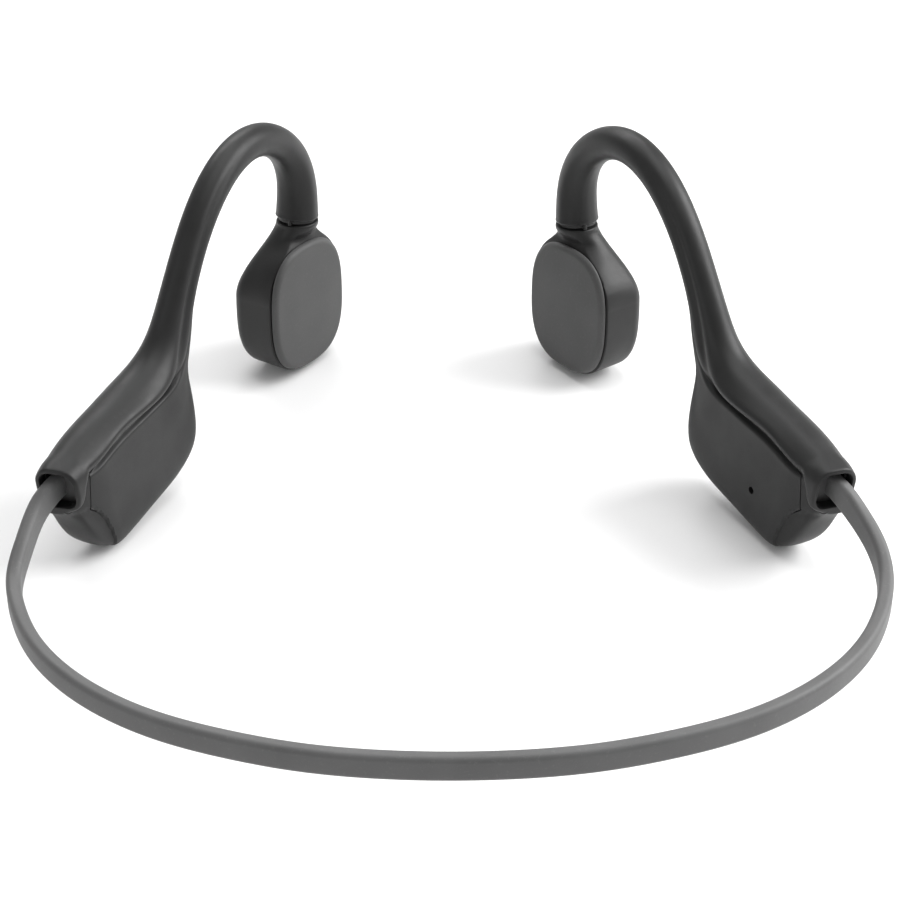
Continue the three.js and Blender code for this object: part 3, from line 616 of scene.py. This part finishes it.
def dress_frame():
    """Gives every CAD node the material of its slot."""
    slots = {part["node"]: part["material_slot"] for part in frame["record"]["subparts"]}
    for name, node in frame["nodes"].items():
        node.data.materials.clear()
        node.data.materials.append(SLOT_MATERIALS[slots[name]])


# ---------- arm ----------
SPINE_PATH = Path(SPINE)
SPINE_SIZES = by_stations(SPINE_SIZE)
POD_LINE = Spline(POD_OUTLINE).dense(600)
GROOVE = by_stations(HOOK_GROOVE)


def spine_frame(at, lift=0.0):
    """Centre, inward direction and downward direction of a section; lift moves it along the spine."""
    centre = SPINE_PATH.place(at).reshape(3)
    along = SPINE_PATH.along(at).reshape(3)
    up = unit(np.cross((1, 0, 0), along))
    across = unit(np.cross(along, up))
    return centre + along * lift, across, -up


def blade_depth(centre, down, least):
    """How far below the spine the pod's outline lies."""
    a = POD_LINE[:-1]
    edge = POD_LINE[1:] - a
    start = a - centre[1:]
    cross = down[1] * edge[:, 1] - down[2] * edge[:, 0]
    cross = np.where(np.abs(cross) < 1e-9, 1e-9, cross)
    reach = (start[:, 0] * edge[:, 1] - start[:, 1] * edge[:, 0]) / cross
    share = (start[:, 0] * down[2] - start[:, 1] * down[1]) / cross
    hit = (share >= 0) & (share <= 1) & (reach > least)
    return reach[hit].max() if hit.any() else least


def corner_point(across, height, angle, power):
    """A point of a superellipse."""
    c, s = math.cos(angle), math.sin(angle)
    size = (abs(c) ** power + abs(s) ** power) ** (-1 / power)
    return across * c * size, height * s * size


# Angles, in degrees, of the hook's oval that the points of a pod's section turn into.
OUTER_TURNS = (180, 210, 240, 270)
VALLEY_TURNS = (382, 400, 412)
CLOSED_TURNS = (18, 36, 54)  # points of the closed collar end that the valley opens from


def section_keys(across, height, depth, face, back, valley, opened, ended):
    """Rows of inward, downward, and the angle in degrees of the matching point of the hook's oval.

    The valley between the dome and the face is there where opened is 1 and ended is 0."""
    edge = min(EDGE, (depth - height) / 2 + 0.4)
    inner = lerp(min(VALLEY, across * 0.8), min(face, across * 0.94), ended)
    crease = valley * height
    dome_end = opened * math.asin(max(-0.6, valley - 0.45))
    power = lerp(COLLAR_SQUARE, 2, opened)
    brow = lerp(1.1 * height, crease + 0.3 * height, opened)
    foot = max(depth - edge, brow + 0.2)
    cut = edge * 0.3
    keys = []
    for degrees in OUTER_TURNS:
        keys.append((*corner_point(across, height, math.radians(degrees), power), degrees))
    for step in (1, 2, 3):
        angle = lerp(-math.pi / 2, dome_end, step / 3)
        keys.append((*corner_point(across, height, angle, power), 270 + 30 * step))
    lip = keys[-1][0]
    closed = [corner_point(across, height, math.radians(turn), COLLAR_SQUARE) for turn in CLOSED_TURNS]
    valley_keys = [
        (lerp(inner, lip, 0.3), crease - 0.1 * height),
        (inner, crease + 0.02 * height),
        (lerp(inner, face, 0.82), crease + 0.12 * height),
    ]
    for before, after, degrees in zip(closed, valley_keys, VALLEY_TURNS):
        keys.append((lerp(before[0], after[0], opened), lerp(before[1], after[1], opened), degrees))
    keys += [
        (face, brow, 422),
        (face, lerp(brow, foot, 0.35), 426),
        (face, lerp(brow, foot, 0.7), 430),
        (face, foot, 434),
        (face - cut, depth - cut, 444),
        (face - edge, depth, 454),
        (back + edge, depth, 470),
        (back + cut, depth - cut, 486),
        (back, foot, 502),
    ]
    side = (-across * 0.98, height * 0.9, 520)
    keys += [(lerp(back, side[0], t), lerp(foot, side[1], t), lerp(502, 520, t)) for t in (0.33, 0.66)]
    keys.append(side)
    return np.array(keys)


LOOP_STEPS = 7  # points between each pair of a section's keys


def arm_loop(at, inset=0.0, lift=0.0):
    """The arm's section at a fraction of the spine, shrunk by inset and moved on by lift."""
    centre, across_way, down_way = spine_frame(at, lift)
    across, height, valley = SPINE_SIZES(at)[0]
    across, height = across - inset, height - inset
    least = height + BLADE_LEAST + inset
    depth = blade_depth(SPINE_PATH.place(at).reshape(3), down_way, least) - inset
    drawn = max(0, 1 - centre[1] / FACE_DRAWN_IN["length"])
    swell = FACE_SWELL["height"] * math.exp(-(((at - FACE_SWELL["at"]) / FACE_SWELL["width"]) ** 2))
    face = FACE + swell - inset - FACE_DRAWN_IN["depth"] * drawn * drawn
    opened = smoothstep(at * SPINE_PATH.length, *VALLEY_OPENS)
    ended = smoothstep(at, *VALLEY_ENDS)
    keys = section_keys(across, height, depth, face, BACK + inset, valley, opened, ended)
    angles = np.radians(keys[:, 2])
    blade = 1 - smoothstep(at, BLADE_FULL, BLADE_GONE)
    oval = np.stack([across * np.cos(angles), height * np.sin(angles)], -1)
    loop = Spline(lerp(oval, keys[:, :2], blade), closed=True).even(LOOP_STEPS)
    loop = grooved(loop, at, across, height)
    return centre + loop[:, :1] * across_way + loop[:, 1:] * down_way


def grooved(loop, at, across, height):
    """The loop with the hook's soft groove pressed into it."""
    if not min(HOOK_GROOVE) < at < max(HOOK_GROOVE):
        return loop
    middle, depth = GROOVE(at)[0]
    angles = np.degrees(np.arctan2(loop[:, 1] / height, loop[:, 0] / across)) + 360
    away = (angles - middle + 180) % 360 - 180
    press = max(0, depth) * np.exp(-((away / GROOVE_WIDTH) ** 2))
    size = np.linalg.norm(loop, axis=1)
    return loop * (1 - press / size)[:, None]


def seam_line():
    """The rear seam, from the parting line's lower end down to below the pod."""
    return Spline(REAR_SEAM).dense(60)


def press_lobe(loops):
    """Lowers the rear lobe beside the seam, and draws the soft crease below the collar."""
    seam = seam_line()
    y, z = loops[..., 1], loops[..., 2]
    seam_y = np.interp(z, seam[::-1, 1], seam[::-1, 0])
    behind = (seam_y - y) * LOBE["slant"]
    lower = smoothstep(LOBE["top"] - z, 0, LOBE["rise"])
    sink = LOBE["sink"] * lower * (1 - smoothstep(behind, *LOBE["fade"])) * (behind > -SEAM_GAP)
    line = np.exp(-(((z - COLLAR_CREASE["z"]) / COLLAR_CREASE["width"]) ** 2))
    line = COLLAR_CREASE["depth"] * line * (1 - smoothstep(y, *COLLAR_CREASE["fade"]))
    loops[..., 0] -= (sink + line) * smoothstep(loops[..., 0], *PRESSED_SIDE)
    return loops


def arm_blank(name):
    """The whole outer shape of an arm, solid, in millimetres."""
    loops = []
    for distance, inset in quarter(END_ROUNDING):
        loops.append(arm_loop(distance / SPINE_PATH.length, inset))
    pod = np.arange(END_ROUNDING + POD_STEP, SPINE_PATH.length * POD_PART, POD_STEP)
    hook_end = SPINE_PATH.length - END_ROUNDING - HOOK_STEP / 2
    hook = np.arange(pod[-1] + HOOK_STEP, hook_end, HOOK_STEP)
    for distance in [*pod, *hook]:
        loops.append(arm_loop(distance / SPINE_PATH.length))
    for distance, inset in reversed(quarter(END_ROUNDING)):
        loops.append(arm_loop(1, inset, HOOK_SKIRT - distance))
    return loft(name, press_lobe(np.array(loops)))


def cover_outline(gap):
    """The cover's edge from the side. gap moves its seams outwards, away from the cover."""
    rear = seam_line()[::-1]
    crease = Spline(CREASE).dense(80)
    line = np.vstack([rear, crease])
    way = np.gradient(line, axis=0)
    normal = np.stack([-way[:, 1], way[:, 0]], -1)
    normal /= np.linalg.norm(normal, axis=1, keepdims=True)
    fade = 1 - smoothstep(line[:, 0], *COVER_FREE)
    line = line + normal * (gap * fade)[:, None]
    far, low = BEYOND_POD["y"], BEYOND_POD["z"]
    return np.vstack([line, [(far, CREASE[-1][1]), (far, low), (line[0, 0], low)]])


def collar_plug(name, outline, *layers, aside=0.0):
    """A plug along the collar's axis: each layer is a distance into the arm and how much it grows."""
    loops = []
    for distance, grow in layers:
        centre, across_way, down_way = spine_frame(0, distance)
        centre = centre + aside * across_way
        size = outline + grow * outline / np.linalg.norm(outline, axis=1, keepdims=True)
        loops.append(centre + size[:, :1] * across_way + size[:, 1:] * down_way)
    return loft(name, loops)


def mouth():
    """The hollow of the collar, a little wider at its rim."""
    outline = rounded(COLLAR["width"], COLLAR["height"], COLLAR["corner"], 8)
    return collar_plug("mouth", outline, *MOUTH_EDGE, (COLLAR["end"] + 0.2, 0))


def hook_bore():
    """The channel of the lead, from the pod up through the hook."""
    loops = []
    for at in np.linspace(BORE["from"], 1, 40):
        centre, across_way, down_way = spine_frame(at, 2 if at == 1 else 0)
        oval = circle(1, 16) * (BORE["across"], BORE["height"])
        loops.append(centre + oval[:, :1] * across_way + oval[:, 1:] * down_way)
    return loft("bore", loops)


def edge_matrix(along):
    """From a frame on the pod's lower edge (x across, y along, z into the pod) to the arm's frame."""
    start, end = np.array(EDGE_LINE["start"]), np.array(EDGE_LINE["end"])
    slope = math.atan2(*(end - start)[::-1])
    middle = lerp(start, end, along)
    place = Matrix.Translation((EDGE_LINE["across"], *middle))
    return place @ Matrix.Rotation(slope, 4, "X")


def edge_plug(name, along, outline, *layers):
    """A plug that stands on the pod's lower edge: each layer is a depth into the pod and a growth."""
    loops = []
    for depth, grow in layers:
        size = outline + grow * outline / np.linalg.norm(outline, axis=1, keepdims=True)
        loops.append(np.column_stack([size, np.full(len(size), depth)]))
    made = loft(name, loops)
    made.data.transform(edge_matrix(along))
    return made


def side_disc(name, profile, y, z, steps=72):
    """A round piece whose axis is x, from a profile of (radius, x)."""
    loops = []
    for radius, x in profile:
        ring = circle(radius, steps)
        loops.append(np.column_stack([np.full(steps, x), ring[:, 0] + y, ring[:, 1] + z]))
    return loft(name, loops)


def left_cuts():
    """The main key's hole and the slot of the charging contacts."""
    radius = MAIN_KEY["radius"] + MAIN_KEY_GAP
    hole = side_disc("hole", [(radius, -8), (radius, -1)], MAIN_KEY["y"], MAIN_KEY["z"])
    slot = rounded(CONTACT_SLOT["width"], CONTACT_SLOT["length"], CONTACT_SLOT["corner"])
    return [hole, edge_plug("slot", 0.5, slot, (OUTSIDE_EDGE, 0), (CONTACT_SLOT["depth"], 0))]


def right_cuts():
    """The slots of the volume keys."""
    outline = rounded(KEY["width"] + KEY_GAP, KEY["length"] + KEY_GAP, KEY["corner"] + 0.1)
    layers = (OUTSIDE_EDGE, 0), (KEY["inner"], 0)
    return [edge_plug("slot", along, outline, *layers) for along in KEY_PLACES.values()]


def arm(side):
    """The shell and the inner cover, cut from one skin, and the pieces at the arm's two ends."""
    matrix, body = arm_matrix(side), f"{side}_arm"
    plastic = SLOT_MATERIALS["soft_touch_shell"]
    shell = arm_blank(f"{side}_shell_skin")
    cover = shell.copy()
    cover.data = shell.data.copy()
    cover.name = f"{side}_cover_skin"
    bpy.context.scene.collection.objects.link(cover)
    half_gap = SEAM_GAP / 2
    keep = side_prism("keep", cover_outline(0), PARTING + half_gap, BEYOND_POD["x"])
    carve(cover, keep, operation="INTERSECT")
    carve(cover, side_prism("cavity", CAVITY, CAVITY_BACK, CAVITY_FACE))
    carve(shell, side_prism("cover", cover_outline(SEAM_GAP), PARTING - half_gap, BEYOND_POD["x"]))
    carve(shell, side_prism("cavity", CAVITY, CAVITY_BACK, CAVITY_FACE), hook_bore(), mouth())
    if side == "left":
        carve(shell, *left_cuts())
    else:
        carve(shell, *right_cuts())
        hole = [(MIC["hole"], x) for x in (0, 6)]
        carve(cover, side_disc("hole", hole, MIC["y"], MIC["z"], 32))
    finish_piece(shell, matrix, body, plastic, [f"{side}_arm_shell"])
    finish_piece(cover, matrix, body, plastic, [f"{side}_pod_cover"])
    collar_floor(side, matrix, body)
    neck_ring(side, matrix, body)


def collar_floor(side, matrix, body):
    """The plug at the bottom of the collar, with the slot that the band passes through."""
    outline = rounded(COLLAR["width"] - 0.04, COLLAR["height"] - 0.04, COLLAR["corner"], 8)
    made = collar_plug(f"{side}_collar_floor", outline, (COLLAR["floor"], 0), (COLLAR["end"], 0))
    slot = rounded(BAND_THICKNESS + 0.7, BAND_HEIGHT + 0.5, BAND_CORNER + 0.2)
    carve(made, collar_plug("slot", slot, (0, 0), (COLLAR["end"] + 1, 0), aside=COLLAR["slot"]))
    finish_piece(made, matrix, body, HOLLOW, [f"{side}_band_gland"])


def neck_ring(side, matrix, body):
    """The black seal between hook and transducer, and the rib that bridges it."""
    profile = [
        (HOOK_SKIRT + 0.03, SEAL["rim"]),
        (HOOK_SKIRT + 0.06, SEAL["radius"]),
        (NECK_GAP_END - 0.06, SEAL["radius"]),
        (NECK_GAP_END - 0.03, SEAL["rim"]),
    ]
    loops = []
    for lift, radius in profile:
        centre, across_way, down_way = spine_frame(1, lift)
        ring = circle(radius, 64)
        loops.append(centre + ring[:, :1] * across_way + ring[:, 1:] * down_way)
    made = loft(f"{side}_neck_ring", loops)
    bore = [spine_frame(1, lift) for lift in (-1, 3)]
    ring = circle(SEAL["bore"], 32)
    loops = [centre + ring[:, :1] * a + ring[:, 1:] * d for centre, a, d in bore]
    carve(made, loft("bore", loops))
    finish_piece(made, matrix, body, SLOT_MATERIALS["black_rubber"], [f"{side}_neck_seal"])
    loops = []
    rib = rounded(RIB["width"], RIB["height"], RIB["corner"], 4) + RIB["place"]
    for lift in (HOOK_SKIRT - 0.2, NECK_GAP_END + 0.2):
        centre, across_way, down_way = spine_frame(1, lift)
        loops.append(centre + rib[:, :1] * across_way + rib[:, 1:] * down_way)
    rib = loft(f"{side}_neck_rib", loops)
    finish_piece(rib, matrix, body, SLOT_MATERIALS["soft_touch_shell"])


# ---------- keys ----------
def main_key():
    """A round key, slightly dished, in the outer side of the left pod."""
    radius, face, inner = MAIN_KEY["radius"], MAIN_KEY["face"], MAIN_KEY["inner"]
    rounding, dish = MAIN_KEY_EDGE["rounding"], MAIN_KEY_EDGE["dish"]
    profile = [(radius - 0.2, inner), (radius, inner - 0.1)]
    profile += [(radius - inset, face + distance) for distance, inset in reversed(quarter(rounding))]
    for share in (0.8, 0.6, 0.4, 0.2, 0.05):
        sunk = dish * (1 - share * share) * min(1, 6 * (1 - share))
        profile.append((share * (radius - rounding), face + sunk))
    made = side_disc("multifunction_key_cap", profile, MAIN_KEY["y"], MAIN_KEY["z"])
    plastic = SLOT_MATERIALS["soft_touch_shell"]
    matrix, body = arm_matrix("left"), "multifunction_button"
    finish_piece(made, matrix, body, plastic, ["multifunction_key"])


def volume_key(name, along):
    """A pill-shaped key in the lower edge of the right pod."""
    outline = rounded(KEY["width"], KEY["length"], KEY["corner"], 10)
    top = [(-KEY["proud"] + distance, -inset) for distance, inset in quarter(KEY["rounding"])]
    crown = [(-KEY["proud"] - 0.1, -0.95), (-KEY["proud"] - 0.07, -0.7)]
    made = edge_plug(f"{name}_key_cap", along, outline, *crown, *top, (KEY["inner"] - 0.05, 0))
    plastic = SLOT_MATERIALS["soft_touch_shell"]
    finish_piece(made, arm_matrix("right"), f"{name}_button", plastic, [f"{name}_key"])


# ---------- transducer ----------
def back_inset(x):
    """How far the outline shrinks at a depth, because of the rounded back edge and the fine front rim."""
    corner, rim = HOUSING["corner"], HOUSING["rim"]
    from_back = np.clip(corner - (x - HOUSING["back"]), 0, corner)
    from_front = np.clip(rim - (HOUSING["front"] - x), 0, rim)
    return corner - np.sqrt(corner**2 - from_back**2) + rim - np.sqrt(rim**2 - from_front**2)


def outline_width(z, inset):
    """Half width of the housing at a height."""
    share = np.clip(abs(z) / (OUTLINE["half_height"] - inset), 0, 1)
    return (OUTLINE["half_width"] - inset) * (1 - share ** OUTLINE["power"]) ** (1 / OUTLINE["power"])


FRONT_STEPS, SIDE_STEPS, BACK_STEPS = 8, 40, 14  # points on half of a level loop


def half_level(z):
    """Half of a level loop of the housing, from the middle of its front to the middle of its back."""
    deepest = min(HOUSING["corner"], OUTLINE["half_height"] - abs(z))
    back = HOUSING["back"]
    if deepest < HOUSING["corner"]:
        back += HOUSING["corner"] - math.sqrt(HOUSING["corner"] ** 2 - (HOUSING["corner"] - deepest) ** 2)
    dense = lerp(HOUSING["front"], back, np.linspace(0, 1, 400))
    width = outline_width(z, back_inset(dense))
    length = np.concatenate([[0], np.cumsum(np.hypot(np.diff(dense), np.diff(width)))])
    x = np.interp(np.linspace(0, 1, SIDE_STEPS) * length[-1], length, dense)
    side = np.stack([x, outline_width(z, back_inset(x))], -1)
    front = side[0] * np.column_stack([np.ones(FRONT_STEPS), np.linspace(0, 1, FRONT_STEPS, False)])
    rear = side[-1] * np.column_stack([np.ones(BACK_STEPS), np.linspace(1, 0, BACK_STEPS + 1)[1:]])
    return np.vstack([front, side, rear])


def whole_level(half):
    """Both halves of a level loop."""
    other = half[-2:0:-1] * (1, -1)
    return np.vstack([half, other])


def neck_level(radius_x, radius_y):
    """A round loop whose points match those of half_level."""
    corners = np.radians((38, 142))  # where the front and the back of half_level end
    angles = np.concatenate([
        np.linspace(0, corners[0], FRONT_STEPS, False),
        np.linspace(*corners, SIDE_STEPS),
        np.linspace(corners[1], math.pi, BACK_STEPS + 1)[1:],
    ])
    return np.stack([radius_x * np.cos(angles), radius_y * np.sin(angles)], -1)


def shoulder(half, centre_x, z):
    """Widens the front of a level to carry the pad, and dips it behind the pad's top."""
    front, back = half[:, 0].max(), half[:, 0].min()
    scoop = SCOOP["depth"] * math.exp(-(((z - SCOOP["z"]) / SCOOP["width"]) ** 2))
    settled = smoothstep(NECK["straight"] - z, 0, FLARE["front"])
    wanted = lerp(NECK["x"] + NECK["radius"], HOUSING["front"], settled) - scoop - centre_x
    share = (front - half[:, 0]) / (front - back)
    width = half[:, 1].max()
    wider = outline_width(z, 0) - width
    soft = FLARE["softness"] * np.clip((z - FLARE_END) / FLARE["over"], 0, 1)
    carried = width + (wider + math.sqrt(wider * wider + soft * soft)) / 2
    grow = 1 + (carried / width - 1) * (1 - smoothstep(share, *FLARE["sides"]))
    x = half[:, 0] + (wanted - front) * (1 - smoothstep(share, 0, FLARE["pull"]))
    return np.column_stack([x, half[:, 1] * grow])


def housing_blank(name):
    """The whole outer shape of a transducer's housing, solid, in level loops from the neck down."""
    loops = []

    def level(half, centre, z):
        loop = whole_level(half)
        loops.append(np.column_stack([loop + centre, np.full(len(loop), z)]))

    neck = np.array((NECK["x"], NECK["y"]))
    body = np.array((0, OUTLINE["y"]))
    radius, top, straight = NECK["radius"], NECK["top"], NECK["straight"]
    for distance, inset in quarter(NECK["rounding"]):
        level(neck_level(radius - inset, radius - inset), neck, top - distance)
    foot = half_level(FLARE_END)
    for share in np.linspace(0, 1, 64):
        z = lerp(straight, FLARE_END, share)
        spread = smoothstep(share**FLARE_RISE, 0, 1)
        half = lerp(neck_level(radius, radius), foot, spread)
        centre = lerp(neck, body, spread)
        level(shoulder(half, centre[0], z), centre, z)
    for z in np.linspace(FLARE_END, 0, 8)[1:]:
        level(half_level(z), body, z)
    for angle in np.linspace(0, math.pi / 2, 60)[1:-1]:
        z = -OUTLINE["half_height"] * math.sin(angle) ** (2 / OUTLINE["power"])
        level(half_level(z), body, z)
    return loft(name, loops)


def outline_loop(inset, x, steps=128):
    """The transducer's outline, shrunk by inset, at a depth x."""
    angles = np.arange(steps) * 2 * math.pi / steps
    power = 2 / OUTLINE["power"]
    c, s = np.cos(angles), np.sin(angles)
    y = OUTLINE["y"] + (OUTLINE["half_width"] - inset) * np.sign(c) * np.abs(c) ** power
    z = (OUTLINE["half_height"] - inset) * np.sign(s) * np.abs(s) ** power
    return np.column_stack([np.full(steps, x), y, z])


def pad_blank(name):
    """The pad's skin, a little crowned, in shrinking copies of the transducer's outline."""
    back, face, rounding, inset = PAD["back"], PAD["face"], PAD["rounding"], PAD["inset"]
    layers = [(back, 3), (back, inset + 0.12), (back + 0.06, inset + 0.02)]
    layers += [(face - distance, inset + shrink) for distance, shrink in reversed(quarter(rounding, 10))]
    reach = OUTLINE["half_width"] - inset - rounding
    for share in np.linspace(0, 0.97, 14)[1:]:
        layers.append((face + PAD["crown"] * smoothstep(share, 0, 0.6), inset + rounding + share * reach))
    return loft(name, [outline_loop(shrink, x) for x, shrink in layers])


def transducer(side):
    """The hollow housing and the soft pad."""
    matrix, body = transducer_matrix(side), f"{side}_arm"
    housing = housing_blank(f"{side}_transducer_case")
    room = circle(DRIVER_ROOM, 64)
    depths = (HOUSING["cavity"], HOUSING["front"] + 2)
    cavity = loft("cavity", [np.column_stack([np.full(len(room), x), room]) for x in depths])
    ring = circle(LEAD_HOLE["radius"], 24) + (NECK["x"], NECK["y"])
    heights = (LEAD_HOLE["from"], LEAD_HOLE["to"])
    hole = loft("hole", [np.column_stack([ring, np.full(len(ring), z)]) for z in heights])
    carve(housing, cavity, hole)
    plastic = SLOT_MATERIALS["soft_touch_shell"]
    finish_piece(housing, matrix, body, plastic, [f"{side}_transducer_housing"])
    pad = pad_blank(f"{side}_pad_skin")
    finish_piece(pad, matrix, body, PAD_SKIN, [f"{side}_transducer_pad"])


# ---------- neckband ----------
def band_path():
    """The band's centreline, from the left collar to the right one."""

    def end_points(side):
        out, forward, toe_in = ARMS[side]
        for x, y, z in BAND_END:
            across = out - x * math.cos(toe_in) - y * math.sin(toe_in)
            yield across, forward - x * math.sin(toe_in) + y * math.cos(toe_in), z

    left = [(-x, y, z) for x, y, z in [*BAND_ROUTE, *end_points("left")]]
    right = [*BAND_ROUTE, *end_points("right")]
    return Path(left[::-1] + right[1:])


BAND_PATH = band_path()


def band_half(name, side, outline, offset, material, nodes):
    """Half of a band layer, from one collar to the middle of the band."""
    middle = np.interp(0, BAND_PATH.points[:, 0], BAND_PATH.share)
    ends = (0, middle) if side == "left" else (middle, 1)
    steps = round((ends[1] - ends[0]) * BAND_PATH.length / BAND_STEP)
    at = np.linspace(*ends, steps + 1)
    loops = []
    for centre, along in zip(BAND_PATH.place(at), BAND_PATH.along(at)):
        across = unit(np.cross((0, 0, 1), along))
        up = unit(np.cross(along, across))
        up = up if up[2] > 0 else -up
        loops.append(centre + outline[:, :1] * across + (outline[:, 1:] + offset) * up)
    made = loft(name, loops)
    finish_piece(made, LEAN @ SCALE, None, material, nodes)
    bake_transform(made)


def neckband():
    """The band's silicone, its spring wire and its lead, each in two halves."""
    layers = {
        "neckband_skin": (rounded(BAND_THICKNESS, BAND_HEIGHT, BAND_CORNER, 7), 0, "silicone_skin"),
        "memory_wire": (circle(BAND_WIRE["radius"], 12), BAND_WIRE["offset"], "spring_steel"),
        "signal_lead": (circle(BAND_LEAD["radius"], 12), BAND_LEAD["offset"], "lead_jacket"),
    }
    for layer, (outline, offset, slot) in layers.items():
        for side in ARMS:
            nodes = [f"{layer}_{side}"] + ([f"{layer}_center"] if side == "left" else [])
            band_half(f"{layer}_{side}_half", side, outline, offset, SLOT_MATERIALS[slot], nodes)


# ---------- floor, light and camera, in metres ----------
FLOOR_LEVEL = -0.0005  # just below the skins
FLOOR_REACH = 3
LAMP_TARGET = (0, 0, 0.02)
LAMPS = {  # place, width, height and power in watts
    "key": ((0.5, 0.12, 0.36), 0.4, 0.4, 5),
    "top": ((0.05, 0.1, 0.6), 0.4, 0.4, 1.6),
    "back": ((-0.15, 0.5, 0.42), 0.5, 0.16, 1.6),
    "fill": ((-0.4, -0.3, 0.25), 0.3, 0.3, 0.4),
}
SKY_STRENGTH = 0.42


def floor():
    corners = [(x * FLOOR_REACH, y * FLOOR_REACH, 0) for x, y in ((-1, -1), (1, -1), (1, 1), (-1, 1))]
    made = new_object("floor", corners, [(0, 1, 2, 3)])
    made.location.z = FLOOR_LEVEL
    n = Nodes("pale_floor")
    n.link(n.tint(n.noise(0.2), grey(0.86), grey(0.89)), n.shader.inputs["Base Color"])
    n.shader.inputs["Roughness"].default_value = 0.8
    made.data.materials.append(n.material)


def lamp(name, place, width, height, power):
    """An area light that faces the piece."""
    light = bpy.data.lights.new(name, "AREA")
    light.shape = "RECTANGLE"
    light.size, light.size_y, light.energy = width, height, power
    made = bpy.data.objects.new(name, light)
    made.location = place
    made.rotation_euler = (Vector(LAMP_TARGET) - Vector(place)).to_track_quat("-Z", "Y").to_euler()
    bpy.context.scene.collection.objects.link(made)


def studio():
    for name, settings in LAMPS.items():
        lamp(name, *settings)
    world = bpy.data.worlds.new("studio")
    world.use_nodes = True
    sky = world.node_tree.nodes["Background"]
    sky.inputs["Color"].default_value = (1, 1, 1, 1)
    sky.inputs["Strength"].default_value = SKY_STRENGTH
    bpy.context.scene.world = world
    bpy.context.scene.view_settings.view_transform = "Standard"


def camera():
    """The photo's view: from behind, 30 degrees down onto the neckband's plane."""
    made = bpy.data.objects.new("camera", bpy.data.cameras.new("camera"))
    made.data.lens = CAMERA_LENS
    made.data.clip_start = 0.01
    place = Matrix.Translation(Vector(CAMERA_PLACE) * MM)
    made.matrix_world = LEAN @ place @ Matrix.Rotation(CAMERA_TILT, 4, "X")
    bpy.context.scene.collection.objects.link(made)
    bpy.context.scene.camera = made


camera()
studio()
floor()
dress_frame()
for side in ARMS:
    arm(side)
    transducer(side)
main_key()
for name, along in KEY_PLACES.items():
    volume_key(name, along)
neckband()
